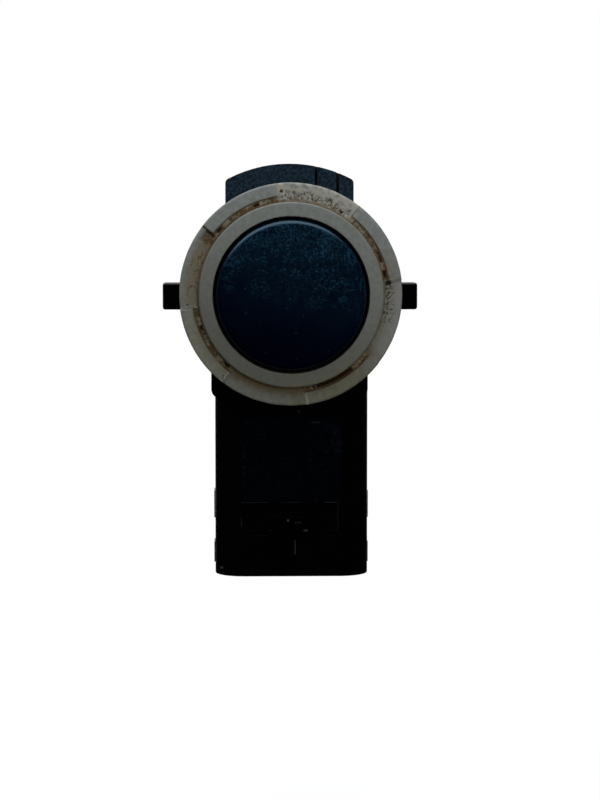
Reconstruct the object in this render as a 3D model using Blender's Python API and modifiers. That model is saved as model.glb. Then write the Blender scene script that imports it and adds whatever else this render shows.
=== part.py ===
# Ultrasonic parking sensor for a car bumper.
#
# The sensing face looks along -Y and the plug socket points down, as the sensor sits
# in its bumper holder. The origin is the centre of the sensing face, +Z is up, and
# every size is in metres.

import math

import bmesh
import bpy
from mathutils import Matrix

MM = 0.001

# Clearances
FIT_GAP = 0.3 * MM  # left between pieces that seat on each other
SOLDER_GAP = 0.2 * MM  # under a component on the circuit board

# Aluminium membrane cup, a deep-drawn pot whose closed end is the sensing face
MEMBRANE_RADIUS = 7.75 * MM
MEMBRANE_THICKNESS = 0.8 * MM
CUP_DEPTH = 8.4 * MM
CUP_EDGE_ROUND = 0.6 * MM
CUP_CAVITY_WIDTH = 9.6 * MM
CUP_CAVITY_HEIGHT = 12.4 * MM
CUP_FLANGE_REACH = 0.9 * MM
CUP_FLANGE_THICKNESS = 1.0 * MM

# Silicone decoupling ring between the cup and the housing
RING_GAP = 0.35 * MM
COLLAR_WALL = 1.45 * MM
COLLAR_SETBACK = 0.6 * MM
COLLAR_EDGE_ROUND = 0.18 * MM
FLANGE_RADIUS = 11.6 * MM
FLANGE_SETBACK = 2.7 * MM
FLANGE_THICKNESS = 1.3 * MM
FLANGE_EDGE_ROUND = 0.3 * MM
SKIRT_WALL = 1.4 * MM
SKIRT_LIP = 0.6 * MM
PAD_COUNT = 4
PAD_START = 7.6  # degrees from +X towards +Z, where the first raised pad begins
PAD_SPREAD = 44.5  # degrees
PAD_HEIGHT = 0.45 * MM
PAD_GROOVE = 0.75 * MM
PAD_INSET = 0.1 * MM
RECESS_DEPTH = 0.2 * MM
RECESS_RIM = 0.5 * MM
RECESS_EDGE = 1.2  # degrees between a pad's end and the recess beside it
POCKET_SPANS = ((0.8, 6.8), (11.8, 32.0), (37.1, 41.6))  # degrees from a pad's start
POCKET_DEPTH = 0.7 * MM
COLLAR_MARGIN = 0.08 * MM

# Housing: the round neck that holds the ring
NECK_WALL = 1.1 * MM
NECK_EDGE_ROUND = 0.25 * MM
FLOOR_THICKNESS = 1.2 * MM

# Housing: the block that holds the electronics
BODY_WIDTH = 16.75 * MM
BODY_FRONT = 9.0 * MM
BODY_REAR = 21.3 * MM
BODY_BOTTOM = -11.3 * MM
BODY_CORNER = 1.0 * MM
BODY_SHOULDER_LOW = 5.5 * MM
BODY_SHOULDER_HIGH = 7.5 * MM
BODY_WALL = 1.6 * MM
BODY_EDGE_ROUND = 0.25 * MM
HOOD_WIDTH = 13.65 * MM
HOOD_TOP = 13.7 * MM
HOOD_RADIUS = 14.2 * MM
HOOD_CORNER = 0.55 * MM
HOOD_SLOTS = (2.83 * MM, 5.12 * MM)
HOOD_SLOT_WIDTH = 0.3 * MM
HOOD_SLOT_DEPTH = 0.7 * MM

# Housing: the lugs that the holder's clips catch
LUG_REACH = 13.42 * MM
LUG_HEIGHT = 2.82 * MM
LUG_DROP = 0.27 * MM  # below the sensing face's centre
LUG_FRONT = 6.0 * MM
LUG_DEPTH = 3.0 * MM
LUG_EDGE_ROUND = 0.25 * MM

# Housing: the plug socket
SOCKET_WIDTH = 16.55 * MM
SOCKET_SHIFT = 0.27 * MM  # to the right of the body's middle
SOCKET_FRONT = 9.4 * MM
SOCKET_REAR = 21.0 * MM
SOCKET_MOUTH = -30.6 * MM
SOCKET_CORNER = 3.1 * MM
SOCKET_WALL = 1.35 * MM
SOCKET_DEPTH = 14.6 * MM
SOCKET_EDGE_ROUND = 0.3 * MM
KEY_RIB_WIDTH = 0.9 * MM
KEY_RIB_HEIGHT = 0.6 * MM
KEY_RIB_SETBACK = 1.8 * MM

# Housing: what the plug's latch works against, on the socket's front wall
PANEL_TOP_WIDTH = 11.2 * MM
PANEL_BOTTOM_WIDTH = 10.5 * MM
PANEL_BOTTOM = -22.5 * MM
PANEL_HEIGHT = 0.3 * MM
LATCH_POCKET_WIDTH = 10.6 * MM
LATCH_POCKET_BOTTOM = -26.2 * MM
LATCH_POCKET_DEPTH = 0.5 * MM
NOSE_WIDTH = 4.3 * MM
NOSE_SHIFT = -0.15 * MM
NOSE_TOP = -24.1 * MM
NOSE_BOTTOM = -26.6 * MM
NOSE_HEIGHT = 0.55 * MM
NOSE_STEM_WIDTH = 1.0 * MM
NOSE_STEM_BOTTOM = -28.5 * MM
NOSE_STEM_HEIGHT = 0.3 * MM
SIDE_RIB_HEIGHT = 0.14 * MM
SIDE_RIB_DEPTH = 3.2 * MM
SIDE_RIB_SPANS = ((-21.8 * MM, -24.7 * MM), (-27.4 * MM, -29.6 * MM))

# Rear cover
COVER_THICKNESS = 1.2 * MM
COVER_LIP = 0.8 * MM
COVER_EDGE_ROUND = 0.2 * MM

# Transducer parts inside the cup
PIEZO_RADIUS = 4.1 * MM
PIEZO_THICKNESS = 0.5 * MM
FOAM_THICKNESS = 2.7 * MM
POTTING_THICKNESS = 2.2 * MM
LEAD_RADIUS = 0.15 * MM
LEAD_BORE = 0.5 * MM
LEAD_SLACK = 0.12 * MM
LEAD_POINTS = 9
CARRIER_THICKNESS = 1.0 * MM
CARRIER_PLUG_DEPTH = 1.3 * MM
CARRIER_BOSS_WIDTH = 6.0 * MM
CARRIER_BOSS_HEIGHT = 3.8 * MM
CONTACT_SPACING = 3.2 * MM
CONTACT_SIZE = 0.6 * MM
CONTACT_REACH = 0.8 * MM  # past each end of what it connects

# Circuit board and what is on it
BOARD_STANDOFF = 1.4 * MM
BOARD_THICKNESS = 1.0 * MM
BOSS_RADIUS = 0.7 * MM
BOSS_INSET = 1.2 * MM
BOSS_HEIGHTS = (4.6 * MM, -3.2 * MM)
TRANSFORMER_HEIGHT_Z = 6.0 * MM
TRANSFORMER_BASE = 6.2 * MM
TRANSFORMER_BASE_THICKNESS = 0.8 * MM
CORE_RADIUS = 2.8 * MM
CORE_POST_RADIUS = 1.1 * MM
CORE_FLANGE = 0.7 * MM
CORE_HEIGHT = 3.4 * MM
WINDING_RADIUS = 2.5 * MM
CHIP_Z = -3.3 * MM
CHIP_WIDTH = 6.2 * MM
CHIP_LENGTH = 3.9 * MM
CHIP_THICKNESS = 1.3 * MM
CHIP_LEADS = 6
CHIP_LEAD_PITCH = 1.0 * MM
CHIP_LEAD_WIDTH = 0.4 * MM
CHIP_LEAD_REACH = 0.8 * MM
CHIP_LEAD_THICKNESS = 0.2 * MM
BULK_CAPACITOR = (3.2 * MM, 1.7 * MM, 1.6 * MM)
BULK_CAPACITOR_INSET = 1.4 * MM  # its middle to the board's top edge
FILTER_CAPACITOR = (0.8 * MM, 1.6 * MM, 0.8 * MM)
RESISTOR = (0.8 * MM, 1.6 * MM, 0.45 * MM)
DIODE = (1.4 * MM, 1.5 * MM, 1.0 * MM)
COLUMN_INSET = 1.1 * MM
CAPACITOR_ROWS = (3.4 * MM, 1.0 * MM)
RESISTOR_ROWS = (-1.4 * MM, -3.8 * MM)
DIODE_Z = -6.4 * MM

# Plug terminals, each a flat blade bent towards the board
TERMINAL_PITCH = 3.6 * MM
TERMINAL_WIDTH = 1.2 * MM
TERMINAL_THICKNESS = 0.63 * MM
TERMINAL_TIP_SETBACK = 3.2 * MM
TERMINAL_TIP_TAPER = 1.0 * MM
TERMINAL_LEG_Z = -8.3 * MM
TERMINAL_LEG_REACH = 0.6 * MM

# How finely round forms are divided
TURN_STEPS = 80
SMALL_TURN_STEPS = 40
CORNER_STEPS = 6
SMOOTH_ANGLE = math.radians(35)
OVERLAP = 0.4 * MM  # how far joined shapes reach into each other
WELD = 1e-6

# Places that follow from the sizes, front to back
RING_BORE = MEMBRANE_RADIUS + RING_GAP
COLLAR_RADIUS = RING_BORE + COLLAR_WALL
SKIRT_RADIUS = RING_BORE + SKIRT_WALL
FLANGE_BACK = FLANGE_SETBACK + FLANGE_THICKNESS
PAD_FRONT = FLANGE_SETBACK - PAD_HEIGHT
PAD_INNER = COLLAR_RADIUS + PAD_GROOVE
PAD_OUTER = FLANGE_RADIUS - PAD_INSET
PAD_TURN = 360 / PAD_COUNT
PAD_STARTS = tuple(PAD_START + PAD_TURN * step for step in range(PAD_COUNT))
CARRIER_FRONT = CUP_DEPTH + FIT_GAP
CARRIER_BACK = CARRIER_FRONT + CARRIER_THICKNESS
NECK_BORE = SKIRT_RADIUS + FIT_GAP
NECK_RADIUS = NECK_BORE + NECK_WALL
NECK_FRONT = FLANGE_BACK + FIT_GAP
FLOOR_FRONT = CARRIER_BACK + FIT_GAP
FLOOR_BACK = FLOOR_FRONT + FLOOR_THICKNESS
BOARD_FRONT = FLOOR_BACK + BOARD_STANDOFF
BOARD_BACK = BOARD_FRONT + BOARD_THICKNESS
COVER_FRONT = BODY_REAR - COVER_THICKNESS
CHAMBER_HALF_WIDTH = BODY_WIDTH / 2 - BODY_WALL
CHAMBER_BOTTOM = BODY_BOTTOM + BODY_WALL
BOARD_HALF_WIDTH = CHAMBER_HALF_WIDTH - FIT_GAP
BOARD_TOP = HOOD_TOP - BODY_WALL - FIT_GAP
BULK_CAPACITOR_Z = BOARD_TOP - BULK_CAPACITOR_INSET
SOCKET_MID = (SOCKET_FRONT + SOCKET_REAR) / 2
SOCKET_END = SOCKET_MOUTH + SOCKET_DEPTH
PIEZO_FRONT = MEMBRANE_THICKNESS + FIT_GAP
FOAM_FRONT = PIEZO_FRONT + PIEZO_THICKNESS + FIT_GAP
POTTING_FRONT = FOAM_FRONT + FOAM_THICKNESS + FIT_GAP
CONTACT_FRONT = POTTING_FRONT + POTTING_THICKNESS - CONTACT_REACH
CONTACT_HOLE = CONTACT_SIZE + 2 * FIT_GAP
TERMINAL_XS = tuple(SOCKET_SHIFT + TERMINAL_PITCH * step for step in (-1, 0, 1))


# Materials

def material(name, colour, roughness, metallic=0.0):
    made = bpy.data.materials.new(name)
    made.use_nodes = True
    shader = made.node_tree.nodes["Principled BSDF"]
    shader.inputs["Base Color"].default_value = (*colour, 1.0)
    shader.inputs["Roughness"].default_value = roughness
    shader.inputs["Metallic"].default_value = metallic
    made.diffuse_color = (*colour, 1.0)
    return made


def make_materials():
    return {
        "housing_plastic": material("housing_plastic", (0.008, 0.009, 0.011), 0.5),
        "membrane_paint": material("membrane_paint", (0.004, 0.014, 0.03), 0.4, 0.3),
        "silicone": material("silicone", (0.20, 0.205, 0.185), 0.6),
        "piezo_ceramic": material("piezo_ceramic", (0.55, 0.50, 0.40), 0.5),
        "foam": material("foam", (0.35, 0.35, 0.36), 0.9),
        "potting": material("potting", (0.10, 0.10, 0.11), 0.4),
        "tinned_copper": material("tinned_copper", (0.60, 0.60, 0.58), 0.3, 1.0),
        "board": material("board", (0.02, 0.12, 0.05), 0.5),
        "component_black": material("component_black", (0.02, 0.02, 0.02), 0.45),
        "component_tan": material("component_tan", (0.42, 0.28, 0.16), 0.5),
        "ferrite": material("ferrite", (0.05, 0.05, 0.055), 0.6),
        "copper_wire": material("copper_wire", (0.55, 0.22, 0.08), 0.35, 1.0),
    }


# Building blocks

def link(name, mesh, collection):
    made = bpy.data.objects.new(name, mesh)
    collection.objects.link(made)
    return made


def bake(piece):
    """Turns the piece's modifiers into plain mesh."""
    graph = bpy.context.evaluated_depsgraph_get()
    mesh = bpy.data.meshes.new_from_object(piece.evaluated_get(graph))
    old = piece.data
    piece.modifiers.clear()
    piece.data = mesh
    bpy.data.meshes.remove(old)
    return piece


def weld(mesh):
    work = bmesh.new()
    work.from_mesh(mesh)
    bmesh.ops.remove_doubles(work, verts=work.verts, dist=WELD)
    bmesh.ops.recalc_face_normals(work, faces=work.faces)
    work.to_mesh(mesh)
    work.free()


def prism(name, outline, low, high, along):
    """A flat outline given thickness from low to high along Y (outline in X, Z) or Z (outline in X, Y)."""
    curve = bpy.data.curves.new(name, "CURVE")
    curve.dimensions = "2D"
    curve.fill_mode = "BOTH"
    curve.extrude = abs(high - low) / 2
    spline = curve.splines.new("POLY")
    spline.points.add(len(outline) - 1)
    for point, (across, up) in zip(spline.points, outline):
        point.co = (across, up, 0.0, 1.0)
    spline.use_cyclic_u = True
    flat = link(name, curve, bpy.context.scene.collection)
    graph = bpy.context.evaluated_depsgraph_get()
    mesh = bpy.data.meshes.new_from_object(flat.evaluated_get(graph))
    bpy.data.objects.remove(flat)
    bpy.data.curves.remove(curve)
    middle = (low + high) / 2
    if along == "Y":
        place = Matrix.Translation((0, middle, 0)) @ Matrix.Rotation(math.pi / 2, 4, "X")
    else:
        place = Matrix.Translation((0, 0, middle))
    mesh.transform(place)
    weld(mesh)
    return link(name, mesh, bpy.context.scene.collection)


def block(name, low, high):
    """A box between two opposite corners."""
    work = bmesh.new()
    bmesh.ops.create_cube(work, size=1.0)
    mesh = bpy.data.meshes.new(name)
    work.to_mesh(mesh)
    work.free()
    size = [b - a for a, b in zip(low, high)]
    middle = [(a + b) / 2 for a, b in zip(low, high)]
    mesh.transform(Matrix.Translation(middle) @ Matrix.Diagonal((*size, 1.0)))
    return link(name, mesh, bpy.context.scene.collection)


def turned(name, profile, steps=TURN_STEPS, ring=False):
    """A profile of (radius, y) points turned about the Y axis. A ring's profile is a closed loop."""
    mesh = bpy.data.meshes.new(name)
    count = len(profile)
    edges = [(i, (i + 1) % count) for i in range(count if ring else count - 1)]
    mesh.from_pydata([(radius, y, 0.0) for radius, y in profile], edges, [])
    made = link(name, mesh, bpy.context.scene.collection)
    screw = made.modifiers.new("turn", "SCREW")
    screw.axis = "Y"
    screw.angle = 2 * math.pi
    screw.steps = steps
    screw.render_steps = steps
    screw.use_merge_vertices = True
    screw.merge_threshold = WELD
    bake(made)
    weld(made.data)
    return made


def cylinder(name, radius, low, high, x=0.0, z=0.0, steps=SMALL_TURN_STEPS):
    """A round bar along Y, centred on (x, z)."""
    made = turned(name, [(0, low), (radius, low), (radius, high), (0, high)], steps)
    made.data.transform(Matrix.Translation((x, 0, z)))
    return made


def round_edges(piece, width, segments=3, least_angle=math.radians(50)):
    bevel = piece.modifiers.new("round edges", "BEVEL")
    bevel.width = width
    bevel.segments = segments
    bevel.limit_method = "ANGLE"
    bevel.angle_limit = least_angle
    return bake(piece)


def combine(piece, tools, operation):
    for tool in tools:
        boolean = piece.modifiers.new(operation, "BOOLEAN")
        boolean.operation = operation
        boolean.object = tool
        bake(piece)
        bpy.data.objects.remove(tool)
    return piece


def cut(piece, *tools):
    return combine(piece, tools, "DIFFERENCE")


def join(piece, *tools):
    return combine(piece, tools, "UNION")


# Outlines

def arc(centre_x, centre_y, radius, start, end, steps):
    """Points along an arc, both ends included."""
    return [
        (centre_x + radius * math.cos(angle), centre_y + radius * math.sin(angle))
        for angle in (start + (end - start) * i / steps for i in range(steps + 1))
    ]


def rounded_rectangle(left, right, bottom, top, radius, steps=CORNER_STEPS):
    quarter = math.pi / 2
    corners = (
        (right - radius, top - radius, 0),
        (left + radius, top - radius, 1),
        (left + radius, bottom + radius, 2),
        (right - radius, bottom + radius, 3),
    )
    return [
        point
        for x, y, turn in corners
        for point in arc(x, y, radius, turn * quarter, (turn + 1) * quarter, steps)
    ]


def sector(inner, outer, start, end):
    """A piece of a flat ring between two angles in degrees."""
    steps = max(2, round(TURN_STEPS * (end - start) / 360))
    start, end = math.radians(start), math.radians(end)
    return arc(0, 0, outer, start, end, steps) + arc(0, 0, inner, end, start, steps)


def body_outline(inset=0.0):
    """The electronics block from the front: straight sides, sloped shoulders and an arched hood."""
    half = BODY_WIDTH / 2 - inset
    hood_half = HOOD_WIDTH / 2 - inset
    bottom = BODY_BOTTOM + inset
    corner = max(BODY_CORNER - inset, 0.2 * MM)
    arch_radius = HOOD_RADIUS - inset
    arch_centre = HOOD_TOP - HOOD_RADIUS
    hood_corner = max(HOOD_CORNER - inset, 0.2 * MM)
    # The hood's corner is an arc that touches its side and the arch from within.
    corner_x = hood_half - hood_corner
    lean = math.acos(corner_x / (arch_radius - hood_corner))
    corner_z = arch_centre + (arch_radius - hood_corner) * math.sin(lean)
    right = (
        arc(half - corner, bottom + corner, corner, -math.pi / 2, 0, CORNER_STEPS)
        + [(half, BODY_SHOULDER_LOW), (hood_half, BODY_SHOULDER_HIGH)]
        + arc(corner_x, corner_z, hood_corner, 0, lean, CORNER_STEPS)
    )
    arch = arc(0, arch_centre, arch_radius, lean, math.pi / 2, 2 * CORNER_STEPS)[1:]
    right += arch
    left = [(-x, z) for x, z in reversed(right[:-1])]
    return right + left


def cavity_outline(inset):
    """The membrane cup's oval cavity, taller than it is wide, drawn smaller by the inset."""
    half_width = CUP_CAVITY_WIDTH / 2 - inset
    half_height = CUP_CAVITY_HEIGHT / 2 - inset
    return rounded_rectangle(
        -half_width, half_width, -half_height, half_height, half_width * 0.98, 2 * CORNER_STEPS
    )


# Front pieces

def make_membrane_cup():
    back = CUP_DEPTH
    flange_radius = MEMBRANE_RADIUS + CUP_FLANGE_REACH
    flange_front = back - CUP_FLANGE_THICKNESS
    rim = [
        (MEMBRANE_RADIUS - CUP_EDGE_ROUND + x, CUP_EDGE_ROUND + y)
        for x, y in arc(0, 0, CUP_EDGE_ROUND, -math.pi / 2, 0, CORNER_STEPS)
    ]
    profile = [(0, 0)] + rim + [
        (MEMBRANE_RADIUS, flange_front),
        (flange_radius, flange_front),
        (flange_radius, back),
        (0, back),
    ]
    cup = turned("membrane_cup", profile)
    cavity = prism("cavity", cavity_outline(0), MEMBRANE_THICKNESS, back + OVERLAP, "Y")
    return cut(cup, cavity)


def ring_profile():
    """Half section of the decoupling ring: collar, flange, and a skirt with a groove for the cup's flange."""
    collar_round = arc(
        COLLAR_RADIUS - COLLAR_EDGE_ROUND, COLLAR_SETBACK + COLLAR_EDGE_ROUND,
        COLLAR_EDGE_ROUND, -math.pi / 2, 0, 3,
    )
    flange_round = arc(
        FLANGE_RADIUS - FLANGE_EDGE_ROUND, FLANGE_SETBACK + FLANGE_EDGE_ROUND,
        FLANGE_EDGE_ROUND, -math.pi / 2, 0, 4,
    )
    groove_radius = MEMBRANE_RADIUS + CUP_FLANGE_REACH + FIT_GAP
    groove_front = CUP_DEPTH - CUP_FLANGE_THICKNESS - FIT_GAP
    groove_back = CUP_DEPTH + FIT_GAP
    skirt_back = groove_back + SKIRT_LIP
    return (
        [(RING_BORE, COLLAR_SETBACK)]
        + collar_round
        + [(COLLAR_RADIUS, FLANGE_SETBACK)]
        + flange_round
        + [
            (FLANGE_RADIUS, FLANGE_BACK),
            (SKIRT_RADIUS, FLANGE_BACK),
            (SKIRT_RADIUS, skirt_back),
            (RING_BORE, skirt_back),
            (RING_BORE, groove_back),
            (groove_radius, groove_back),
            (groove_radius, groove_front),
            (RING_BORE, groove_front),
        ]
    )


def make_decoupling_ring():
    ring = turned("decoupling_ring", ring_profile(), ring=True)
    front = FLANGE_SETBACK - OVERLAP
    for start in PAD_STARTS:
        recess = prism(
            "recess",
            sector(
                COLLAR_RADIUS + COLLAR_MARGIN, FLANGE_RADIUS - RECESS_RIM,
                start + PAD_SPREAD + RECESS_EDGE, start + PAD_TURN - RECESS_EDGE,
            ),
            front, FLANGE_SETBACK + RECESS_DEPTH, "Y",
        )
        cut(ring, recess)
    for start in PAD_STARTS:
        pad = prism(
            "pad", sector(PAD_INNER, PAD_OUTER, start, start + PAD_SPREAD),
            PAD_FRONT, FLANGE_SETBACK + OVERLAP, "Y",
        )
        join(ring, pad)
        for pocket_start, pocket_end in POCKET_SPANS:
            pocket = prism(
                "pocket",
                sector(
                    COLLAR_RADIUS + COLLAR_MARGIN, PAD_INNER - COLLAR_MARGIN,
                    start + pocket_start, start + pocket_end,
                ),
                front, FLANGE_SETBACK + POCKET_DEPTH, "Y",
            )
            cut(ring, pocket)
    return ring


# Housing

def make_lug(side):
    ends = sorted((side * (NECK_BORE + NECK_WALL / 3), side * LUG_REACH))
    lug = block(
        "lug",
        (ends[0], LUG_FRONT, -LUG_DROP - LUG_HEIGHT / 2),
        (ends[1], LUG_FRONT + LUG_DEPTH, -LUG_DROP + LUG_HEIGHT / 2),
    )
    return round_edges(lug, LUG_EDGE_ROUND)


def make_neck():
    edge = arc(
        NECK_RADIUS - NECK_EDGE_ROUND, NECK_FRONT + NECK_EDGE_ROUND,
        NECK_EDGE_ROUND, -math.pi / 2, 0, 3,
    )
    return turned("neck", [(0, NECK_FRONT)] + edge + [(NECK_RADIUS, FLOOR_BACK), (0, FLOOR_BACK)])


def socket_outline(inset):
    half = SOCKET_WIDTH / 2 - inset
    return rounded_rectangle(
        SOCKET_SHIFT - half, SOCKET_SHIFT + half,
        SOCKET_FRONT + inset, SOCKET_REAR - inset, SOCKET_CORNER - inset,
    )


def make_socket_shell():
    top = BODY_BOTTOM + BODY_WALL / 2
    shell = prism("socket", socket_outline(0), SOCKET_MOUTH, top, "Z")
    return round_edges(shell, SOCKET_EDGE_ROUND)


def make_latch_panel():
    """The raised panel on the socket's front wall, a little narrower at its lower edge."""
    top = BODY_BOTTOM + OVERLAP
    outline = [
        (SOCKET_SHIFT - PANEL_TOP_WIDTH / 2, top),
        (SOCKET_SHIFT - PANEL_BOTTOM_WIDTH / 2, PANEL_BOTTOM),
        (SOCKET_SHIFT + PANEL_BOTTOM_WIDTH / 2, PANEL_BOTTOM),
        (SOCKET_SHIFT + PANEL_TOP_WIDTH / 2, top),
    ]
    return prism("panel", outline, SOCKET_FRONT - PANEL_HEIGHT, SOCKET_FRONT + OVERLAP, "Y")


def make_latch_nose():
    """The wedge that the plug's latch rides over and hooks behind, drawn in side view."""
    crest = SOCKET_FRONT - NOSE_HEIGHT
    root = SOCKET_FRONT + LATCH_POCKET_DEPTH + OVERLAP / 2
    crest_end = NOSE_TOP + (NOSE_BOTTOM - NOSE_TOP) / 3
    side_view = [
        (root, NOSE_TOP),
        (crest, NOSE_TOP),
        (crest, crest_end),
        (SOCKET_FRONT, NOSE_BOTTOM),
        (root, NOSE_BOTTOM),
    ]
    low, high = NOSE_SHIFT - NOSE_WIDTH / 2, NOSE_SHIFT + NOSE_WIDTH / 2
    nose = prism("nose", [(z, y) for y, z in side_view], low, high, "Z")
    # Drawn in X, Y and given its width along Z: turn it so that the width runs along X.
    nose.data.transform(Matrix(((0, 0, 1, 0), (0, 1, 0, 0), (1, 0, 0, 0), (0, 0, 0, 1))))
    weld(nose.data)
    return nose


def make_nose_stem():
    return block(
        "stem",
        (SOCKET_SHIFT - NOSE_STEM_WIDTH / 2, SOCKET_FRONT - NOSE_STEM_HEIGHT, NOSE_STEM_BOTTOM),
        (SOCKET_SHIFT + NOSE_STEM_WIDTH / 2, SOCKET_FRONT + OVERLAP, NOSE_BOTTOM + OVERLAP),
    )


def make_side_ribs():
    ribs = []
    for side in (-1, 1):
        wall = SOCKET_SHIFT + side * (SOCKET_WIDTH / 2 + SIDE_RIB_HEIGHT)
        ends = sorted((wall, SOCKET_SHIFT + side * (SOCKET_WIDTH / 2 - OVERLAP)))
        for top, bottom in SIDE_RIB_SPANS:
            ribs.append(block(
                "side rib",
                (ends[0], SOCKET_MID - SIDE_RIB_DEPTH / 2, bottom),
                (ends[1], SOCKET_MID + SIDE_RIB_DEPTH / 2, top),
            ))
    return ribs


def make_key_ribs():
    """Two ribs inside the socket, ahead of its middle, so that the plug enters one way round only."""
    inner = SOCKET_WIDTH / 2 - SOCKET_WALL
    middle = SOCKET_MID - KEY_RIB_SETBACK
    ribs = []
    for side in (-1, 1):
        crest = SOCKET_SHIFT + side * (inner - KEY_RIB_HEIGHT)
        ends = sorted((crest, SOCKET_SHIFT + side * (inner + SOCKET_WALL / 2)))
        ribs.append(block(
            "key rib",
            (ends[0], middle - KEY_RIB_WIDTH / 2, SOCKET_MOUTH + SOCKET_WALL),
            (ends[1], middle + KEY_RIB_WIDTH / 2, SOCKET_END + OVERLAP),
        ))
    return ribs


def make_board_bosses():
    reach = CHAMBER_HALF_WIDTH - BOSS_INSET
    return [
        cylinder("boss", BOSS_RADIUS, FLOOR_BACK - OVERLAP, BOARD_FRONT - FIT_GAP, side * reach, z, 16)
        for side in (-1, 1)
        for z in BOSS_HEIGHTS
    ]


def terminal_slot(x):
    half_width = TERMINAL_WIDTH / 2 + FIT_GAP
    half_depth = TERMINAL_THICKNESS / 2 + FIT_GAP
    return block(
        "terminal slot",
        (x - half_width, SOCKET_MID - half_depth, SOCKET_END - OVERLAP),
        (x + half_width, SOCKET_MID + half_depth, CHAMBER_BOTTOM + OVERLAP),
    )


def hood_slot(x):
    return block(
        "hood slot",
        (x - HOOD_SLOT_WIDTH / 2, BODY_FRONT - OVERLAP, NECK_RADIUS - OVERLAP),
        (x + HOOD_SLOT_WIDTH / 2, BODY_FRONT + HOOD_SLOT_DEPTH, HOOD_TOP + OVERLAP),
    )


def make_housing():
    housing = prism("housing", body_outline(), BODY_FRONT, BODY_REAR, "Y")
    round_edges(housing, BODY_EDGE_ROUND)
    join(housing, make_neck(), make_socket_shell(), make_lug(-1), make_lug(1))
    join(housing, make_latch_panel())

    neck_bore = cylinder("neck bore", NECK_BORE, NECK_FRONT - OVERLAP, FLOOR_FRONT, steps=TURN_STEPS)
    window = block(
        "window",
        (-CARRIER_BOSS_WIDTH / 2 - FIT_GAP, FLOOR_FRONT - OVERLAP, -CARRIER_BOSS_HEIGHT / 2 - FIT_GAP),
        (CARRIER_BOSS_WIDTH / 2 + FIT_GAP, FLOOR_BACK + OVERLAP, CARRIER_BOSS_HEIGHT / 2 + FIT_GAP),
    )
    chamber = prism("chamber", body_outline(BODY_WALL), FLOOR_BACK, BODY_REAR + OVERLAP, "Y")
    cover_seat = prism(
        "cover seat", body_outline(COVER_LIP), COVER_FRONT - FIT_GAP, BODY_REAR + OVERLAP, "Y"
    )
    cavity = prism("plug cavity", socket_outline(SOCKET_WALL), SOCKET_MOUTH - OVERLAP, SOCKET_END, "Z")
    pocket = block(
        "latch pocket",
        (SOCKET_SHIFT - LATCH_POCKET_WIDTH / 2, SOCKET_FRONT - 2 * OVERLAP, LATCH_POCKET_BOTTOM),
        (
            SOCKET_SHIFT + LATCH_POCKET_WIDTH / 2,
            SOCKET_FRONT + LATCH_POCKET_DEPTH,
            PANEL_BOTTOM - PANEL_HEIGHT / 3,
        ),
    )
    cut(housing, neck_bore, window, chamber, cover_seat, cavity, pocket)
    cut(housing, *[terminal_slot(x) for x in TERMINAL_XS])
    cut(housing, *[hood_slot(x) for x in HOOD_SLOTS])
    join(housing, make_latch_nose(), make_nose_stem(), *make_side_ribs())
    join(housing, *make_key_ribs(), *make_board_bosses())
    return housing


def make_rear_cover():
    cover = prism("rear_cover", body_outline(COVER_LIP + FIT_GAP), COVER_FRONT, BODY_REAR, "Y")
    return round_edges(cover, COVER_EDGE_ROUND, 2)


# Transducer

def make_piezo_disc():
    return cylinder("piezo_disc", PIEZO_RADIUS, PIEZO_FRONT, PIEZO_FRONT + PIEZO_THICKNESS)


def contact_bores(radius, low, high):
    return [
        cylinder("bore", radius, low - OVERLAP, high + OVERLAP, side * CONTACT_SPACING / 2, 0, 20)
        for side in (-1, 1)
    ]


def make_damping_foam():
    back = FOAM_FRONT + FOAM_THICKNESS
    foam = prism("damping_foam", cavity_outline(FIT_GAP), FOAM_FRONT, back, "Y")
    return cut(foam, *contact_bores(LEAD_BORE, FOAM_FRONT, back))


def make_cup_potting():
    back = POTTING_FRONT + POTTING_THICKNESS
    potting = prism("cup_potting", cavity_outline(FIT_GAP), POTTING_FRONT, back, "Y")
    bore = CONTACT_SIZE / 2 * math.sqrt(2) + FIT_GAP
    return cut(potting, *contact_bores(bore, POTTING_FRONT, back))


def make_contact_carrier():
    """Closes the cup and guides the two contacts through the housing floor to the board."""
    carrier = cylinder("contact_carrier", RING_BORE - FIT_GAP, CARRIER_FRONT, CARRIER_BACK, steps=TURN_STEPS)
    plug = prism(
        "plug", cavity_outline(FIT_GAP), CUP_DEPTH - CARRIER_PLUG_DEPTH + FIT_GAP,
        CARRIER_FRONT + CARRIER_THICKNESS / 3, "Y",
    )
    boss = block(
        "boss",
        (-CARRIER_BOSS_WIDTH / 2, CARRIER_BACK - CARRIER_THICKNESS / 3, -CARRIER_BOSS_HEIGHT / 2),
        (CARRIER_BOSS_WIDTH / 2, BOARD_FRONT - FIT_GAP, CARRIER_BOSS_HEIGHT / 2),
    )
    join(carrier, plug, boss)
    holes = [
        contact_bar("hole", side, CONTACT_HOLE, POTTING_FRONT, BOARD_BACK)
        for side in (-1, 1)
    ]
    return cut(carrier, *holes)


def contact_bar(name, side, size, low, high):
    x = side * CONTACT_SPACING / 2
    return block(name, (x - size / 2, low, -size / 2), (x + size / 2, high, size / 2))


def make_contact_pin(name, side):
    return contact_bar(name, side, CONTACT_SIZE, CONTACT_FRONT, BOARD_BACK + CONTACT_REACH)


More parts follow.
